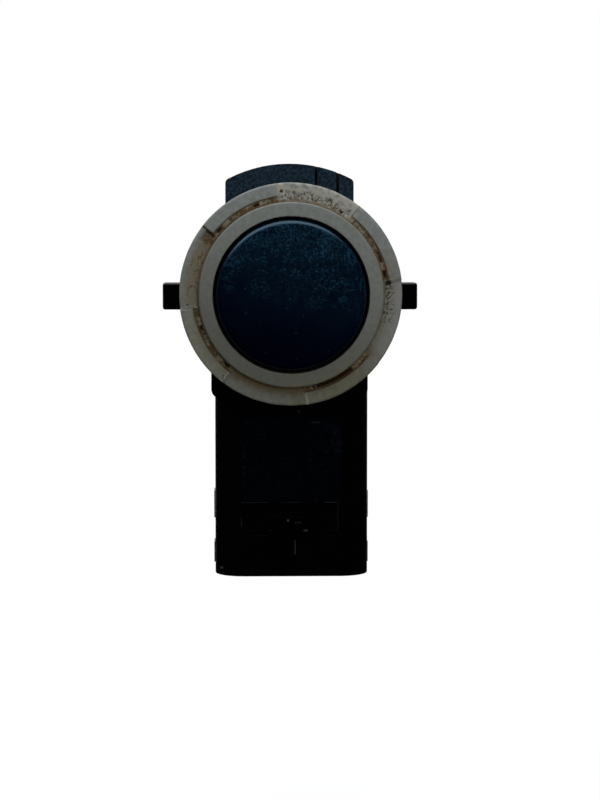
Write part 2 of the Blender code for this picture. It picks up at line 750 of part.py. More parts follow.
def make_piezo_lead(name, side):
    """A fine wire with a little slack, from the disc to the front of its contact."""
    start, end = FOAM_FRONT, CONTACT_FRONT - FIT_GAP
    curve = bpy.data.curves.new(name, "CURVE")
    curve.dimensions = "3D"
    curve.bevel_depth = LEAD_RADIUS
    curve.bevel_resolution = 2
    curve.use_fill_caps = True
    spline = curve.splines.new("POLY")
    spline.points.add(LEAD_POINTS - 1)
    for index, point in enumerate(spline.points):
        share = index / (LEAD_POINTS - 1)
        sway = LEAD_SLACK * math.sin(2 * math.pi * share)
        point.co = (side * (CONTACT_SPACING / 2 + sway), start + (end - start) * share, 0.0, 1.0)
    return link(name, curve, bpy.context.scene.collection)


# Electronics

def make_circuit_board():
    board = prism("circuit_board", body_outline(BODY_WALL + FIT_GAP), BOARD_FRONT, BOARD_BACK, "Y")
    holes = [
        contact_bar("hole", side, CONTACT_HOLE, BOARD_FRONT - OVERLAP, BOARD_BACK + OVERLAP)
        for side in (-1, 1)
    ]
    half_width = TERMINAL_WIDTH / 2 + FIT_GAP
    half_height = TERMINAL_THICKNESS / 2 + FIT_GAP
    for x in TERMINAL_XS:
        holes.append(block(
            "hole",
            (x - half_width, BOARD_FRONT - OVERLAP, TERMINAL_LEG_Z - half_height),
            (x + half_width, BOARD_BACK + OVERLAP, TERMINAL_LEG_Z + half_height),
        ))
    return cut(board, *holes)


def make_component(name, size, x, z):
    """A small moulded or ceramic body soldered to the back of the board; size is across, up and proud."""
    across, up, proud = size
    low = BOARD_BACK + SOLDER_GAP
    body = block(name, (-across / 2, low, -up / 2), (across / 2, low + proud, up / 2))
    round_edges(body, min(size) * 0.12, 1)
    body.location = (x, 0.0, z)
    return body


def make_driver_chip():
    low = BOARD_BACK + SOLDER_GAP
    middle = low + CHIP_THICKNESS / 2
    chip = block(
        "driver_chip",
        (-CHIP_WIDTH / 2, low, -CHIP_LENGTH / 2),
        (CHIP_WIDTH / 2, low + CHIP_THICKNESS, CHIP_LENGTH / 2),
    )
    round_edges(chip, 0.12 * MM, 1)
    for side in (-1, 1):
        for index in range(CHIP_LEADS):
            x = (index - (CHIP_LEADS - 1) / 2) * CHIP_LEAD_PITCH
            join(chip, chip_lead(x, side, low, middle))
    chip.location = (0.0, 0.0, CHIP_Z)
    return chip


def chip_lead(x, side, low, middle):
    """A gull-wing lead: out of the body's side, down to the board, then outwards as a foot."""
    body_edge = CHIP_LENGTH / 2
    knee = body_edge + CHIP_LEAD_REACH / 2
    toe = body_edge + CHIP_LEAD_REACH
    thick = CHIP_LEAD_THICKNESS
    inside = body_edge - OVERLAP
    side_view = [
        (inside, middle - thick / 2),
        (knee - thick / 2, middle - thick / 2),
        (knee - thick / 2, low),
        (toe, low),
        (toe, low + thick),
        (knee + thick / 2, low + thick),
        (knee + thick / 2, middle + thick / 2),
        (inside, middle + thick / 2),
    ]
    lead = prism("lead", side_view, x - CHIP_LEAD_WIDTH / 2, x + CHIP_LEAD_WIDTH / 2, "Z")
    lead.data.transform(Matrix(((0, 0, 1, 0), (0, 1, 0, 0), (side, 0, 0, 0), (0, 0, 0, 1))))
    weld(lead.data)
    return lead


def make_transformer():
    base_front = BOARD_BACK + SOLDER_GAP
    base_back = base_front + TRANSFORMER_BASE_THICKNESS
    half = TRANSFORMER_BASE / 2
    base = block("transformer_base", (-half, base_front, -half), (half, base_back, half))
    round_edges(base, 0.3 * MM, 2)

    core_front = base_back + FIT_GAP
    core_back = core_front + CORE_HEIGHT
    spool_front = core_front + CORE_FLANGE
    spool_back = core_back - CORE_FLANGE
    core = turned("transformer_core", [
        (0, core_front),
        (CORE_RADIUS, core_front),
        (CORE_RADIUS, spool_front),
        (CORE_POST_RADIUS, spool_front),
        (CORE_POST_RADIUS, spool_back),
        (CORE_RADIUS, spool_back),
        (CORE_RADIUS, core_back),
        (0, core_back),
    ], SMALL_TURN_STEPS)

    inner = CORE_POST_RADIUS + FIT_GAP
    front = spool_front + FIT_GAP
    back = spool_back - FIT_GAP
    winding = turned("transformer_winding", [
        (inner, front),
        (WINDING_RADIUS, front),
        (WINDING_RADIUS, back),
        (inner, back),
    ], SMALL_TURN_STEPS, ring=True)
    for piece in (base, core, winding):
        piece.location = (0.0, 0.0, TRANSFORMER_HEIGHT_Z)
    return base, core, winding


def make_small_components():
    column = BOARD_HALF_WIDTH - COLUMN_INSET
    pieces = []
    for row, z in enumerate(CAPACITOR_ROWS):
        for column_index, side in enumerate((-1, 1)):
            name = f"filter_capacitor_{2 * row + column_index + 1}"
            pieces.append((make_component(name, FILTER_CAPACITOR, side * column, z), "component_tan"))
    for row, z in enumerate(RESISTOR_ROWS):
        for column_index, side in enumerate((-1, 1)):
            name = f"resistor_{2 * row + column_index + 1}"
            pieces.append((make_component(name, RESISTOR, side * column, z), "component_black"))
    pieces.append((make_component("bulk_capacitor", BULK_CAPACITOR, 0.0, BULK_CAPACITOR_Z), "component_tan"))
    pieces.append((make_component("clamp_diode", DIODE, -column, DIODE_Z), "component_black"))
    return pieces


def make_terminal(name, x):
    """A blade with a tapered tip in the socket, bent forwards at the board to pass through it."""
    half_width = TERMINAL_WIDTH / 2
    half = TERMINAL_THICKNESS / 2
    tip = SOCKET_MOUTH + TERMINAL_TIP_SETBACK
    leg_front = BOARD_FRONT - TERMINAL_LEG_REACH
    side_view = [
        (SOCKET_MID - half / 3, tip),
        (SOCKET_MID + half / 3, tip),
        (SOCKET_MID + half, tip + TERMINAL_TIP_TAPER),
        (SOCKET_MID + half, TERMINAL_LEG_Z + half),
        (leg_front, TERMINAL_LEG_Z + half),
        (leg_front, TERMINAL_LEG_Z - half),
        (SOCKET_MID - half, TERMINAL_LEG_Z - half),
        (SOCKET_MID - half, tip + TERMINAL_TIP_TAPER),
    ]
    blade = prism(name, [(z, y) for y, z in side_view], -half_width, half_width, "Z")
    blade.data.transform(Matrix(((0, 0, 1, 0), (0, 1, 0, 0), (1, 0, 0, 0), (0, 0, 0, 1))))
    weld(blade.data)
    blade.location = (x, 0.0, 0.0)
    return blade


# Assembly

def make_pieces():
    """Every piece of the sensor with the name of its material."""
    pieces = [
        (make_membrane_cup(), "membrane_paint"),
        (make_decoupling_ring(), "silicone"),
        (make_housing(), "housing_plastic"),
        (make_rear_cover(), "housing_plastic"),
        (make_piezo_disc(), "piezo_ceramic"),
        (make_damping_foam(), "foam"),
        (make_cup_potting(), "potting"),
        (make_contact_carrier(), "component_black"),
        (make_circuit_board(), "board"),
        (make_driver_chip(), "component_black"),
    ]
    for side, word in ((-1, "left"), (1, "right")):
        pieces.append((make_contact_pin(f"contact_pin_{word}", side), "tinned_copper"))
        pieces.append((make_piezo_lead(f"piezo_lead_{word}", side), "tinned_copper"))
    base, core, winding = make_transformer()
    pieces += [(base, "component_black"), (core, "ferrite"), (winding, "copper_wire")]
    pieces += make_small_components()
    for x, word in zip(TERMINAL_XS, ("left", "middle", "right")):
        pieces.append((make_terminal(f"terminal_{word}", x), "tinned_copper"))
    return pieces


def clear_scene():
    for old in list(bpy.data.objects):
        bpy.data.objects.remove(old)


def main():
    clear_scene()
    materials = make_materials()
    collection = bpy.data.collections.new("parking_sensor")
    bpy.context.scene.collection.children.link(collection)
    frame = bpy.data.objects.new("sensor_frame", None)
    collection.objects.link(frame)
    for piece, material_name in make_pieces():
        piece.data.materials.clear()
        piece.data.materials.append(materials[material_name])
        if piece.type == "MESH":
            piece.data.shade_smooth()
            piece.data.set_sharp_from_angle(angle=SMOOTH_ANGLE)
        bpy.context.scene.collection.objects.unlink(piece)
        collection.objects.link(piece)
        piece.parent = frame


main()
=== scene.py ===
# %% [markdown]
# # A parking sensor, dressed
# The sensor's solids come packed from the CAD step and load as a fixed frame. This
# notebook gives them the finishes of the real thing, and remakes in finer mesh the
# pieces that a viewer sees from a hand's width away: the painted sensing face, the
# grey silicone ring and the black moulded housing.

import math
from types import SimpleNamespace

import bmesh
import bpy
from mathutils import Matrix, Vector, noise as solid_noise


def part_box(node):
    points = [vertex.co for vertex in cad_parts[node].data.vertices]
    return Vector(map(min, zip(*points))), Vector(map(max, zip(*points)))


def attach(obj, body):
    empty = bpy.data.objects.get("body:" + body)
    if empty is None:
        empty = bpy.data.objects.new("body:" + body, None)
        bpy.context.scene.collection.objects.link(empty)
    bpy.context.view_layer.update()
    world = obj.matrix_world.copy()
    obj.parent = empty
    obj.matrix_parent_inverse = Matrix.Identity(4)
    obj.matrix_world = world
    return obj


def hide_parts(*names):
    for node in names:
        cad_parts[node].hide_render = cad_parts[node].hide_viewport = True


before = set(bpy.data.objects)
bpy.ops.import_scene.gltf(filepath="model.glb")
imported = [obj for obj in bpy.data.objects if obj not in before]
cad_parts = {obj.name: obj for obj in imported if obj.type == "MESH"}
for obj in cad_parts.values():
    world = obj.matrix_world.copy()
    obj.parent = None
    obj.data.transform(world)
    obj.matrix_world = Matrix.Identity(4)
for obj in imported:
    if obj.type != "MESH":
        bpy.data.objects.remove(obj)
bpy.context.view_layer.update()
MM = 0.001

# %% [markdown]
# ## The camera
# The photograph looks almost straight at the sensing face from about a quarter of a
# metre, and the deeper parts sit a little up and to the left of the face's axis. A
# shifted lens could imitate that, but the shift would stay in every other view. So
# the camera stands a few millimetres to the left of the axis and above it, and is
# turned until the face lands where it does in the photograph.

# %% Stand the camera
CAMERA_PLACE = (-5.5 * MM, -228.0 * MM, 7.2 * MM)
CAMERA_AIM = (62.0, 2221.0, -175.0)


def add_object(name, data):
    made = bpy.data.objects.new(name, data)
    bpy.context.scene.collection.objects.link(made)
    return made


camera_data = bpy.data.cameras.new("camera")
camera_data.lens = 99.95
camera_data.sensor_width = 36.0
camera_data.clip_start = 0.01
camera_data.clip_end = 10.0
camera = add_object("camera", camera_data)
camera.location = CAMERA_PLACE
camera.rotation_mode = "QUATERNION"
camera.rotation_quaternion = Vector(CAMERA_AIM).to_track_quat("-Z", "Y")
bpy.context.scene.camera = camera
bpy.context.scene.view_settings.view_transform = "Standard"
print("camera to sensing face, mm:", round(camera.location.length / MM, 1))

# %% [markdown]
# ## Wiring nodes with less typing
# Every finish below is a small network of nodes. A few helpers keep each network
# readable: one adds a node and fills its sockets, some do arithmetic, and one blends
# two colours. A value may be a number or the output of another node, and its tree is
# where a helper puts the new node. The outputs that are numbers can be added,
# subtracted and multiplied with Python's own signs.

# %% Node helpers
class Number:
    """An output that +, - and * work with. Each sign makes one Math node in its tree."""

    def __init__(self, socket):
        self.socket = socket
        self.id_data = socket.id_data

    def __add__(self, other):
        return calculate("ADD", self, other)

    def __radd__(self, other):
        return self if other == 0 else self + other  # sum() starts from 0

    def __sub__(self, other):
        return calculate("SUBTRACT", self, other)

    def __rsub__(self, other):
        return calculate("SUBTRACT", other, self)

    def __mul__(self, other):
        return calculate("MULTIPLY", self, other)


def connect(value, socket):
    if isinstance(value, Number):
        value = value.socket
    if isinstance(value, bpy.types.NodeSocket):
        socket.id_data.links.new(value, socket)
    else:
        socket.default_value = value


def add_node(near, kind, inputs=None, **settings):
    """Adds a node to a tree, given by the tree itself or by a value in it."""
    node = near.id_data.nodes.new(kind)
    for name, value in settings.items():
        setattr(node, name, value)
    for key, value in (inputs or {}).items():
        connect(value, node.inputs[key])
    return node


def calculate(operation, *values):
    near = next(value for value in values if hasattr(value, "id_data"))
    node = add_node(near, "ShaderNodeMath", dict(enumerate(values)), operation=operation)
    return Number(node.outputs[0])


def highest(*values):
    top = values[0]
    for value in values[1:]:
        top = calculate("MAXIMUM", top, value)
    return top


def ramp(value, start, end, low=0.0, high=1.0):
    """Goes smoothly from low to high while the value goes from start to end."""
    inputs = {0: value, 1: start, 2: end, 3: low, 4: high}
    node = add_node(value, "ShaderNodeMapRange", inputs, interpolation_type="SMOOTHSTEP")
    return Number(node.outputs[0])


def between(value, low, high, soft):
    """1 while the value is between low and high, and 0 outside, with soft ends."""
    return ramp(value, low - soft, low + soft) * ramp(value, high - soft, high + soft, 1.0, 0.0)


def blend_numbers(share, low, high):
    node = add_node(share, "ShaderNodeMix", {0: share, 2: low, 3: high}, data_type="FLOAT")
    return Number(node.outputs[0])


def blend_colours(share, low, high):
    low, high = ((*c, 1.0) if isinstance(c, tuple) else c for c in (low, high))
    return add_node(share, "ShaderNodeMix", {0: share, 6: low, 7: high}, data_type="RGBA").outputs[2]


def split(vector):
    outputs = add_node(vector, "ShaderNodeSeparateXYZ", {0: vector}).outputs
    return {axis: Number(outputs[axis]) for axis in "XYZ"}

# %% [markdown]
# ## Patterns measured in millimetres
# Dirt and grain only look right at their real size, so every pattern reads the
# Object coordinates, turned into millimetres by one Mapping node. The origin is the
# centre of the sensing face, which makes the distance from it a radius and the
# direction an angle: that is how a pattern knows the ring's groove from its rim.

# %% Start a finish, and read places on the object
def start_finish(name, colour, roughness, metallic=0.0):
    made = bpy.data.materials.new(name)
    made.use_nodes = True
    tree = made.node_tree
    shader = tree.nodes["Principled BSDF"]
    set_surface(shader, (*colour, 1.0), roughness)
    shader.inputs["Metallic"].default_value = metallic
    coordinates = add_node(tree, "ShaderNodeTexCoord").outputs["Object"]
    place = add_node(tree, "ShaderNodeMapping", {"Vector": coordinates, "Scale": (1 / MM,) * 3})
    return made, shader, place.outputs[0]


def set_surface(shader, colour, roughness, specular=0.5):
    connect(colour, shader.inputs["Base Color"])
    connect(roughness, shader.inputs["Roughness"])
    shader.inputs["Specular IOR Level"].default_value = specular


def set_bump(shader, height, depth_mm, strength):
    inputs = {"Height": height, "Distance": depth_mm * MM, "Strength": strength}
    connect(add_node(shader, "ShaderNodeBump", inputs).outputs[0], shader.inputs["Normal"])


def noise(place, per_mm, detail=3.0, roughness=0.55):
    inputs = {"Vector": place, "Scale": per_mm, "Detail": detail, "Roughness": roughness}
    return Number(add_node(place, "ShaderNodeTexNoise", inputs).outputs["Fac"])


def cells(place, per_mm, randomness=1.0):
    inputs = {"Vector": place, "Scale": per_mm, "Randomness": randomness}
    return add_node(place, "ShaderNodeTexVoronoi", inputs).outputs


def flecks(place, per_mm, edge, chosen):
    """A round fleck in the middle of some cells, with soft ranges for its edge and the choice."""
    outputs = cells(place, per_mm)
    return ramp(outputs["Distance"], *edge, 1.0, 0.0) * ramp(outputs["Color"], *chosen)


def radius_of(parts):
    """Distance from the face's axis, in millimetres."""
    squares = [parts[axis] * parts[axis] for axis in ("X", "Z")]
    return calculate("SQRT", sum(squares))

# %% [markdown]
# ## Body paint on the sensing face
# The face is aluminium, painted with the car: a deep blue that photographs almost
# black. Fine grains of road dust lie on it, and the colour is painted lighter and
# bluer towards the top, fading out towards the bottom: painted light from above.
# Noise and small cells make the grains, a wider noise makes their clumps, and a few
# flecks stand out. The front of the face lies at y = 0, where a noise shows its
# lattice, so the pattern's place is moved off that plane.

# %% The painted face
OFF_LATTICE = (3.3, 0.37, 7.7)


def make_paint():
    paint, shader, place = start_finish("membrane_paint", (0.0015, 0.008, 0.02), 0.4)
    parts = split(place)
    inputs = {"Vector": place, "Location": OFF_LATTICE}
    place = add_node(place, "ShaderNodeMapping", inputs).outputs[0]
    clumps = ramp(noise(place, 1.5, 3.0, 0.6), 0.36, 0.64, 0.5, 1.0)
    grains = noise(place, 4.0, 3.0, 0.7) + cells(place, 6.5)["Color"]
    grains = ramp(grains * 0.5, 0.35, 0.7, 0.12, 1.0)
    clouds = ramp(noise(place, 0.42, 3.0, 0.6), 0.3, 0.66, 0.45, 1.0)
    # Lighter and bluer towards the top as painted light from above, times the dust's clouds, clumps and
    # grains.
    dust_and_top_light = ramp(parts["Z"] + parts["X"] * 0.2, -7.0, 12.5) * clouds * clumps * grains
    speck = flecks(place, 1.5, (0.09, 0.17), (0.6, 0.66))
    colour = blend_colours(dust_and_top_light, (0.0, 0.0001, 0.0045), (0.005, 0.048, 0.09))
    colour = blend_colours(speck * 0.4, colour, (0.015, 0.06, 0.085))
    set_surface(shader, colour, ramp(dust_and_top_light, 0.0, 0.6, 0.22, 0.34), 0.45)
    shader.inputs["Specular Tint"].default_value = (0.45, 0.78, 1.0, 1.0)
    set_bump(shader, grains + speck, 0.006, 0.12)
    return paint


paint = make_paint()
print("paint:", len(paint.node_tree.nodes), "nodes")

# %% [markdown]
# ## Smooth copies of the moulded and drawn pieces
# A imported solid is loose triangles, flat-shaded, with most edges knife-sharp. No mould
# makes such an edge: a real one has a radius of some hundredths of a millimetre, and
# that radius is what catches the light. So a copy is welded, its flat faces are joined,
# and its sharp edges are bevelled by that small radius. The bevel's faces get a weight
# called edge, which the plastic's finish reads to paint highlights along the edges. Large
# flat faces then keep their own normals, by area, so only the rounded parts shade as round.

# %% Copy a node as a smooth piece with rounded edges
SHARP_ANGLE = math.radians(32)
FLAT_ANGLE = math.radians(0.6)
WELD_DISTANCE = 1e-7  # metres


def round_sharp_edges(work, radius):
    edge_weight = work.faces.layers.float.new("edge")
    bmesh.ops.dissolve_limit(work, angle_limit=FLAT_ANGLE, verts=work.verts, edges=work.edges)
    sharp = [e for e in work.edges if len(e.link_faces) == 2 and e.calc_face_angle(0.0) > SHARP_ANGLE]
    made = bmesh.ops.bevel(
        work, geom=sharp, offset=radius, segments=2, profile=0.5, affect="EDGES", clamp_overlap=True,
    )
    for face in made["faces"]:
        face[edge_weight] = 1.0


def welded_copy(node):
    work = bmesh.new()
    work.from_mesh(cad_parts[node].data)
    bmesh.ops.remove_doubles(work, verts=work.verts, dist=WELD_DISTANCE)
    return work


def finish_work(work, mesh, name):
    open_edges = sum(1 for edge in work.edges if len(edge.link_faces) != 2)
    print(name, "has", len(work.faces), "faces and", open_edges, "open edges")
    work.to_mesh(mesh)
    work.free()


def smooth_copy(node, name, finish, edge_mm=0.0):
    mesh = bpy.data.meshes.new(name)
    work = welded_copy(node)
    bmesh.ops.recalc_face_normals(work, faces=work.faces)
    if edge_mm:
        round_sharp_edges(work, edge_mm * MM)
    finish_work(work, mesh, name)
    mesh.shade_smooth()
    mesh.set_sharp_from_angle(angle=SHARP_ANGLE)
    mesh.materials.append(finish)
    piece = add_object(name, mesh)
    by_area = piece.modifiers.new("flat faces stay flat", "WEIGHTED_NORMAL")
    by_area.keep_sharp = True
    by_area.weight = 100
    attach(piece, "root")
    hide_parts(node)


smooth_copy("membrane_cup", "sensing_face", paint)

# %% [markdown]
# ## The silicone ring
# The grey ring between the face and the bumper is one soft moulding: a plain collar,
# a narrow dirty groove, and a flange whose front steps up and down four times round.
# It could be turned and then cut, as in CAD, but its rule is simpler than that: one
# half section carried round the axis, with the front raised or lowered by the angle.
# A node tree that follows the rule gives soft, even edges everywhere, so the half
# section is drawn here and the tree carries it round.

# %% Draw the ring's half section
ring_low, ring_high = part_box("decoupling_ring")
FLANGE_RADIUS = ring_high.x / MM
COLLAR_FRONT = ring_low.y / MM
SKIRT_BACK = ring_high.y / MM
RING_BORE = 8.1
COLLAR_RADIUS = 9.55
FLANGE_FRONT = 2.7
FLANGE_BACK = 4.0
SKIRT_RADIUS = 9.5
PAD_INNER = 10.22
RECESS_OUTER = 11.1
BORE_GROOVE = (7.1, 8.7, 8.95)  # front, back and radius of the groove inside the skirt
FRONT_BAND = 0.32  # how far behind the flange's front its points still step


def rounded(corners):
    """Rounds an outline's corners (radius, y, rounding, spacing) and fills the run after each."""
    outline = []
    count = len(corners)
    for index, (x, y, rounding, spacing) in enumerate(corners):
        here = Vector((x, y))
        before = Vector(corners[index - 1][:2]) - here
        after = Vector(corners[(index + 1) % count][:2]) - here
        if rounding == 0:
            outline.append((here, spacing))
            continue
        start = here + before.normalized() * rounding
        end = here + after.normalized() * rounding
        for step in range(6):
            t = step / 5
            outline.append((start * (1 - t) ** 2 + here * 2 * t * (1 - t) + end * t ** 2, spacing))
    filled = []
    for index, (point, spacing) in enumerate(outline):
        following = outline[(index + 1) % len(outline)][0]
        steps = max(1, math.ceil((following - point).length / spacing))
        filled += [point.lerp(following, step / steps) for step in range(steps)]
    return filled


FINE, COARSE = 0.09, 1.2
section = rounded([
    (RING_BORE, COLLAR_FRONT, 0.12, 0.3),
    (COLLAR_RADIUS, COLLAR_FRONT, 0.2, 0.5),
    (COLLAR_RADIUS, FLANGE_FRONT, 0.05, FINE),
    (PAD_INNER - 0.05, FLANGE_FRONT, 0, FINE),
    (PAD_INNER, FLANGE_FRONT, 0, FINE),
    (PAD_INNER + 0.02, FLANGE_FRONT, 0, FINE),
    (PAD_INNER + 0.07, FLANGE_FRONT, 0, FINE),
    (RECESS_OUTER, FLANGE_FRONT, 0, FINE),
    (RECESS_OUTER + 0.06, FLANGE_FRONT, 0, FINE),
    (FLANGE_RADIUS, FLANGE_FRONT, 0.3, 0.4),
    (FLANGE_RADIUS, FLANGE_BACK, 0.12, COARSE),
    (SKIRT_RADIUS, FLANGE_BACK, 0, COARSE),
    (SKIRT_RADIUS, SKIRT_BACK, 0, COARSE),
    (RING_BORE, SKIRT_BACK, 0, COARSE),
    (RING_BORE, BORE_GROOVE[1], 0, COARSE),
    (BORE_GROOVE[2], BORE_GROOVE[1], 0, COARSE),
    (BORE_GROOVE[2], BORE_GROOVE[0], 0, COARSE),
    (RING_BORE, BORE_GROOVE[0], 0, COARSE),
])


def front_weight(point, inner, outer, inner_edge, outer_edge):
    """1 on the flange's front between two radii, falling to 0 over an edge on each side."""
    if point.y > FLANGE_FRONT + FRONT_BAND:
        return 0.0
    rise = min(max((point.x - inner) / inner_edge, 0.0), 1.0)
    fall = min(max((outer - point.x) / outer_edge, 0.0), 1.0)
    return rise * fall


def section_object():
    mesh = bpy.data.meshes.new("ring_section")
    closed = section + section[:1]
    mesh.from_pydata([(p.x * MM, p.y * MM, 0.0) for p in closed], [], [])
    spans = {
        "pad": (PAD_INNER - 0.01, FLANGE_RADIUS + 1, 0.06, 0.06),
        "recess": (COLLAR_RADIUS + 0.05, RECESS_OUTER + 0.2, 0.06, 0.45),
        "groove": (COLLAR_RADIUS + 0.05, PAD_INNER, 0.06, 0.06),
    }
    for name, span in spans.items():
        values = [front_weight(point, *span) for point in closed]
        mesh.attributes.new(name, "FLOAT", "POINT").data.foreach_set("value", values)
    return add_object("ring_section", mesh)


ring_section = section_object()
print("half section:", len(section), "points")

# %% [markdown]
# ### Carry the section round by a rule
# A Grid has one column of points for each angle and one row for each point of the
# section. Each grid point looks up its section point, steps forward or back by the
# angle's rule, and is turned to its place. The rule's sizes are named inputs of the
# tree, so the steps can be moved without touching the nodes.

# %% Build the ring's node tree
RING_COLUMNS = 1080
PAD_START = 7.6  # degrees
PAD_SPREAD = 44.5
POCKET_SPANS = ((0.8, 6.8), (11.8, 32.0), (37.1, 41.6))  # degrees from the pad's start
GROOVE_MIDDLE = 10.4  # the radius at which the ring is unrolled for its patterns


def new_tree(name, inputs):
    """A tree with inputs of several kinds, given as labels under each kind's name."""
    tree = bpy.data.node_groups.new(name, "GeometryNodeTree")
    identifiers = {}
    for kind, labels in inputs.items():
        for label in labels:
            item = tree.interface.new_socket(name=label, socket_type=f"NodeSocket{kind}")
            identifiers[label] = item.identifier
    tree.interface.new_socket(name="Geometry", in_out="OUTPUT", socket_type="NodeSocketGeometry")
    outputs = tree.nodes.new("NodeGroupInput").outputs
    source = {label: Number(outputs[label]) for label in identifiers}
    target = tree.nodes.new("NodeGroupOutput").inputs[0]
    return tree, identifiers, source, target


def finish_mesh(geometry, finish, target):
    smooth = add_node(target, "GeometryNodeSetShadeSmooth", {"Geometry": geometry})
    real = add_node(target, "GeometryNodeRealizeInstances", {"Geometry": smooth.outputs[0]})
    inputs = {"Geometry": real.outputs[0], "Material": finish}
    connect(add_node(target, "GeometryNodeSetMaterial", inputs).outputs[0], target)


def vector_math(operation, first, second):
    inputs = {0: first, 1: second}
    return add_node(first, "ShaderNodeVectorMath", inputs, operation=operation).outputs


def joined(x, y, z):
    return add_node(x, "ShaderNodeCombineXYZ", {"X": x, "Y": y, "Z": z}).outputs[0]


def wrapped(degrees, lowest):
    """The same angle, counted from lowest to lowest + 360."""
    return calculate("WRAP", degrees, lowest + 360.0, lowest)


def looked_up(geometry, value, index, kind):
    inputs = {"Geometry": geometry, "Value": value, "Index": index}
    node = add_node(index, "GeometryNodeSampleIndex", inputs, data_type=kind)
    return Number(node.outputs["Value"])


def sheared(polar, lean, along, across):
    """Leans the unrolled coordinates over and stretches them, so that noise makes streaks."""
    parts = split(polar)
    leaned = parts["X"] + parts["Y"] * lean
    return joined(leaned * along, parts["Y"] * across, 0.0)


def pitting(polar, bearing, radius):
    """Small holes, dense in the top sector and near the upper end of the right one."""
    holes = ramp(noise(sheared(polar, 0.4, 1.6, 0.7), 2.9, 3.0, 0.65), 0.52, 0.6)
    small = ramp(noise(polar, 4.2, 2.0, 0.5), 0.55, 0.63)
    top = between(bearing, 53.5, 96.0, 1.0) * between(radius, 9.7, 10.75, 0.2)
    right = between(bearing, -16.0, 7.0, 6.0) * between(radius, 9.75, 10.8, 0.2)
    return top * holes + right * small


def streaks(polar, bearing, radius):
    """Slanted cracks in the deposit on the left sector."""
    level = noise(sheared(polar, 1.4, 0.7, 1.2), 0.9, 3.0, 0.55)
    ridge = calculate("ABSOLUTE", level - 0.5)
    crack = ramp(ridge, 0.0, 0.035, 1.0, 0.0)
    left = between(bearing, 141.0, 180.0, 4.0) * between(radius, 9.7, 11.0, 0.15)
    return left * crack


def build_ring_tree():
    tree, ids, source, target = new_tree("silicone_ring_rule", {
        "Object": ["Half section"],
        "Int": ["Rows", "Columns"],
        "Float": ["Pad height", "Recess depth", "Pocket depth", "Pit depth", "Lump height", "Unevenness"],
        "Material": ["Finish"],
    })
    info = add_node(tree, "GeometryNodeObjectInfo", {"Object": source["Half section"]})
    sample = info.outputs["Geometry"]
    columns = source["Columns"] + 1
    inputs = {"Vertices X": columns, "Vertices Y": source["Rows"]}
    grid = add_node(tree, "GeometryNodeMeshGrid", inputs)
    index = add_node(tree, "GeometryNodeInputIndex").outputs[0]
    row = calculate("MODULO", index, source["Rows"])
    column = calculate("FLOOR", calculate("DIVIDE", index, source["Rows"]))
    turn = calculate("DIVIDE", column, source["Columns"])
    degrees = turn * 360.0
    radians = turn * (2 * math.pi)

    position = add_node(tree, "GeometryNodeInputPosition").outputs[0]
    point = looked_up(sample, position, row, "FLOAT_VECTOR")
    weights = {}
    for name in ("pad", "recess", "groove"):
        attribute = add_node(tree, "GeometryNodeInputNamedAttribute", {"Name": name}, data_type="FLOAT")
        weights[name] = looked_up(sample, attribute.outputs[0], row, "FLOAT")

    from_pad = calculate("WRAP", degrees - PAD_START, 88.0, -2.0)
    pads = between(from_pad, 0.0, PAD_SPREAD, 0.6)
    pockets = sum(between(from_pad, start, end, 0.4) for start, end in POCKET_SPANS)
    lowered = 1.0 - pads
    rise = weights["pad"] * pads * source["Pad height"]
    sink = weights["recess"] * lowered * source["Recess depth"]
    hole = weights["groove"] * pockets * source["Pocket depth"]

    parts = split(point)
    radius = calculate("DIVIDE", parts["X"], MM)
    bearing = wrapped(degrees, -60.0)
    polar = joined(bearing * math.radians(GROOVE_MIDDLE), radius, 0.0)
    pits = lowered * pitting(polar, bearing, radius) * weights["recess"]
    veins = lowered * streaks(polar, bearing, radius) * weights["recess"]
    worn = (pits + veins * 0.4) * source["Pit depth"]

    lumpy = ramp(noise(polar, 2.6, 3.0, 0.6), 0.3, 0.7, -1.0, 1.0)
    in_groove = weights["groove"] * pads
    lumps = lumpy * in_groove * source["Lump height"]
    depth = parts["Y"] - rise + sink + hole + worn + lumps
    across = parts["X"] * calculate("COSINE", radians)
    up = parts["X"] * calculate("SINE", radians)
    placed = joined(across, depth, up)
    wobble = add_node(tree, "ShaderNodeTexNoise", {"Vector": placed, "Scale": 900.0, "Detail": 2.0})
    centred = vector_math("SUBTRACT", wobble.outputs["Color"], (0.5, 0.5, 0.5))
    amount = highest(weights["recess"], weights["pad"]) * source["Unevenness"]
    inputs = {0: centred[0], "Scale": amount}
    shift = add_node(tree, "ShaderNodeVectorMath", inputs, operation="SCALE").outputs[0]
    placed = vector_math("ADD", placed, shift)[0]

    inputs = {"Geometry": grid.outputs["Mesh"], "Position": placed}
    shape = add_node(tree, "GeometryNodeSetPosition", inputs).outputs[0]
    carried = {
        "lowered": lowered * weights["recess"],
        "groove": in_groove,
        "pocket": weights["groove"] * pockets,
        "pits": pits,
        "veins": veins,
        "step": pads * lowered * weights["pad"],
    }
    for name, value in carried.items():
        inputs = {"Geometry": shape, "Name": name, "Value": value}
        shape = add_node(tree, "GeometryNodeStoreNamedAttribute", inputs, data_type="FLOAT").outputs[0]
    welded = add_node(tree, "GeometryNodeMergeByDistance", {"Geometry": shape, "Distance": WELD_DISTANCE})
    finish_mesh(welded.outputs[0], source["Finish"], target)
    return tree, ids


ring_tree, ring_inputs = build_ring_tree()
print("ring tree:", len(ring_tree.nodes), "nodes")
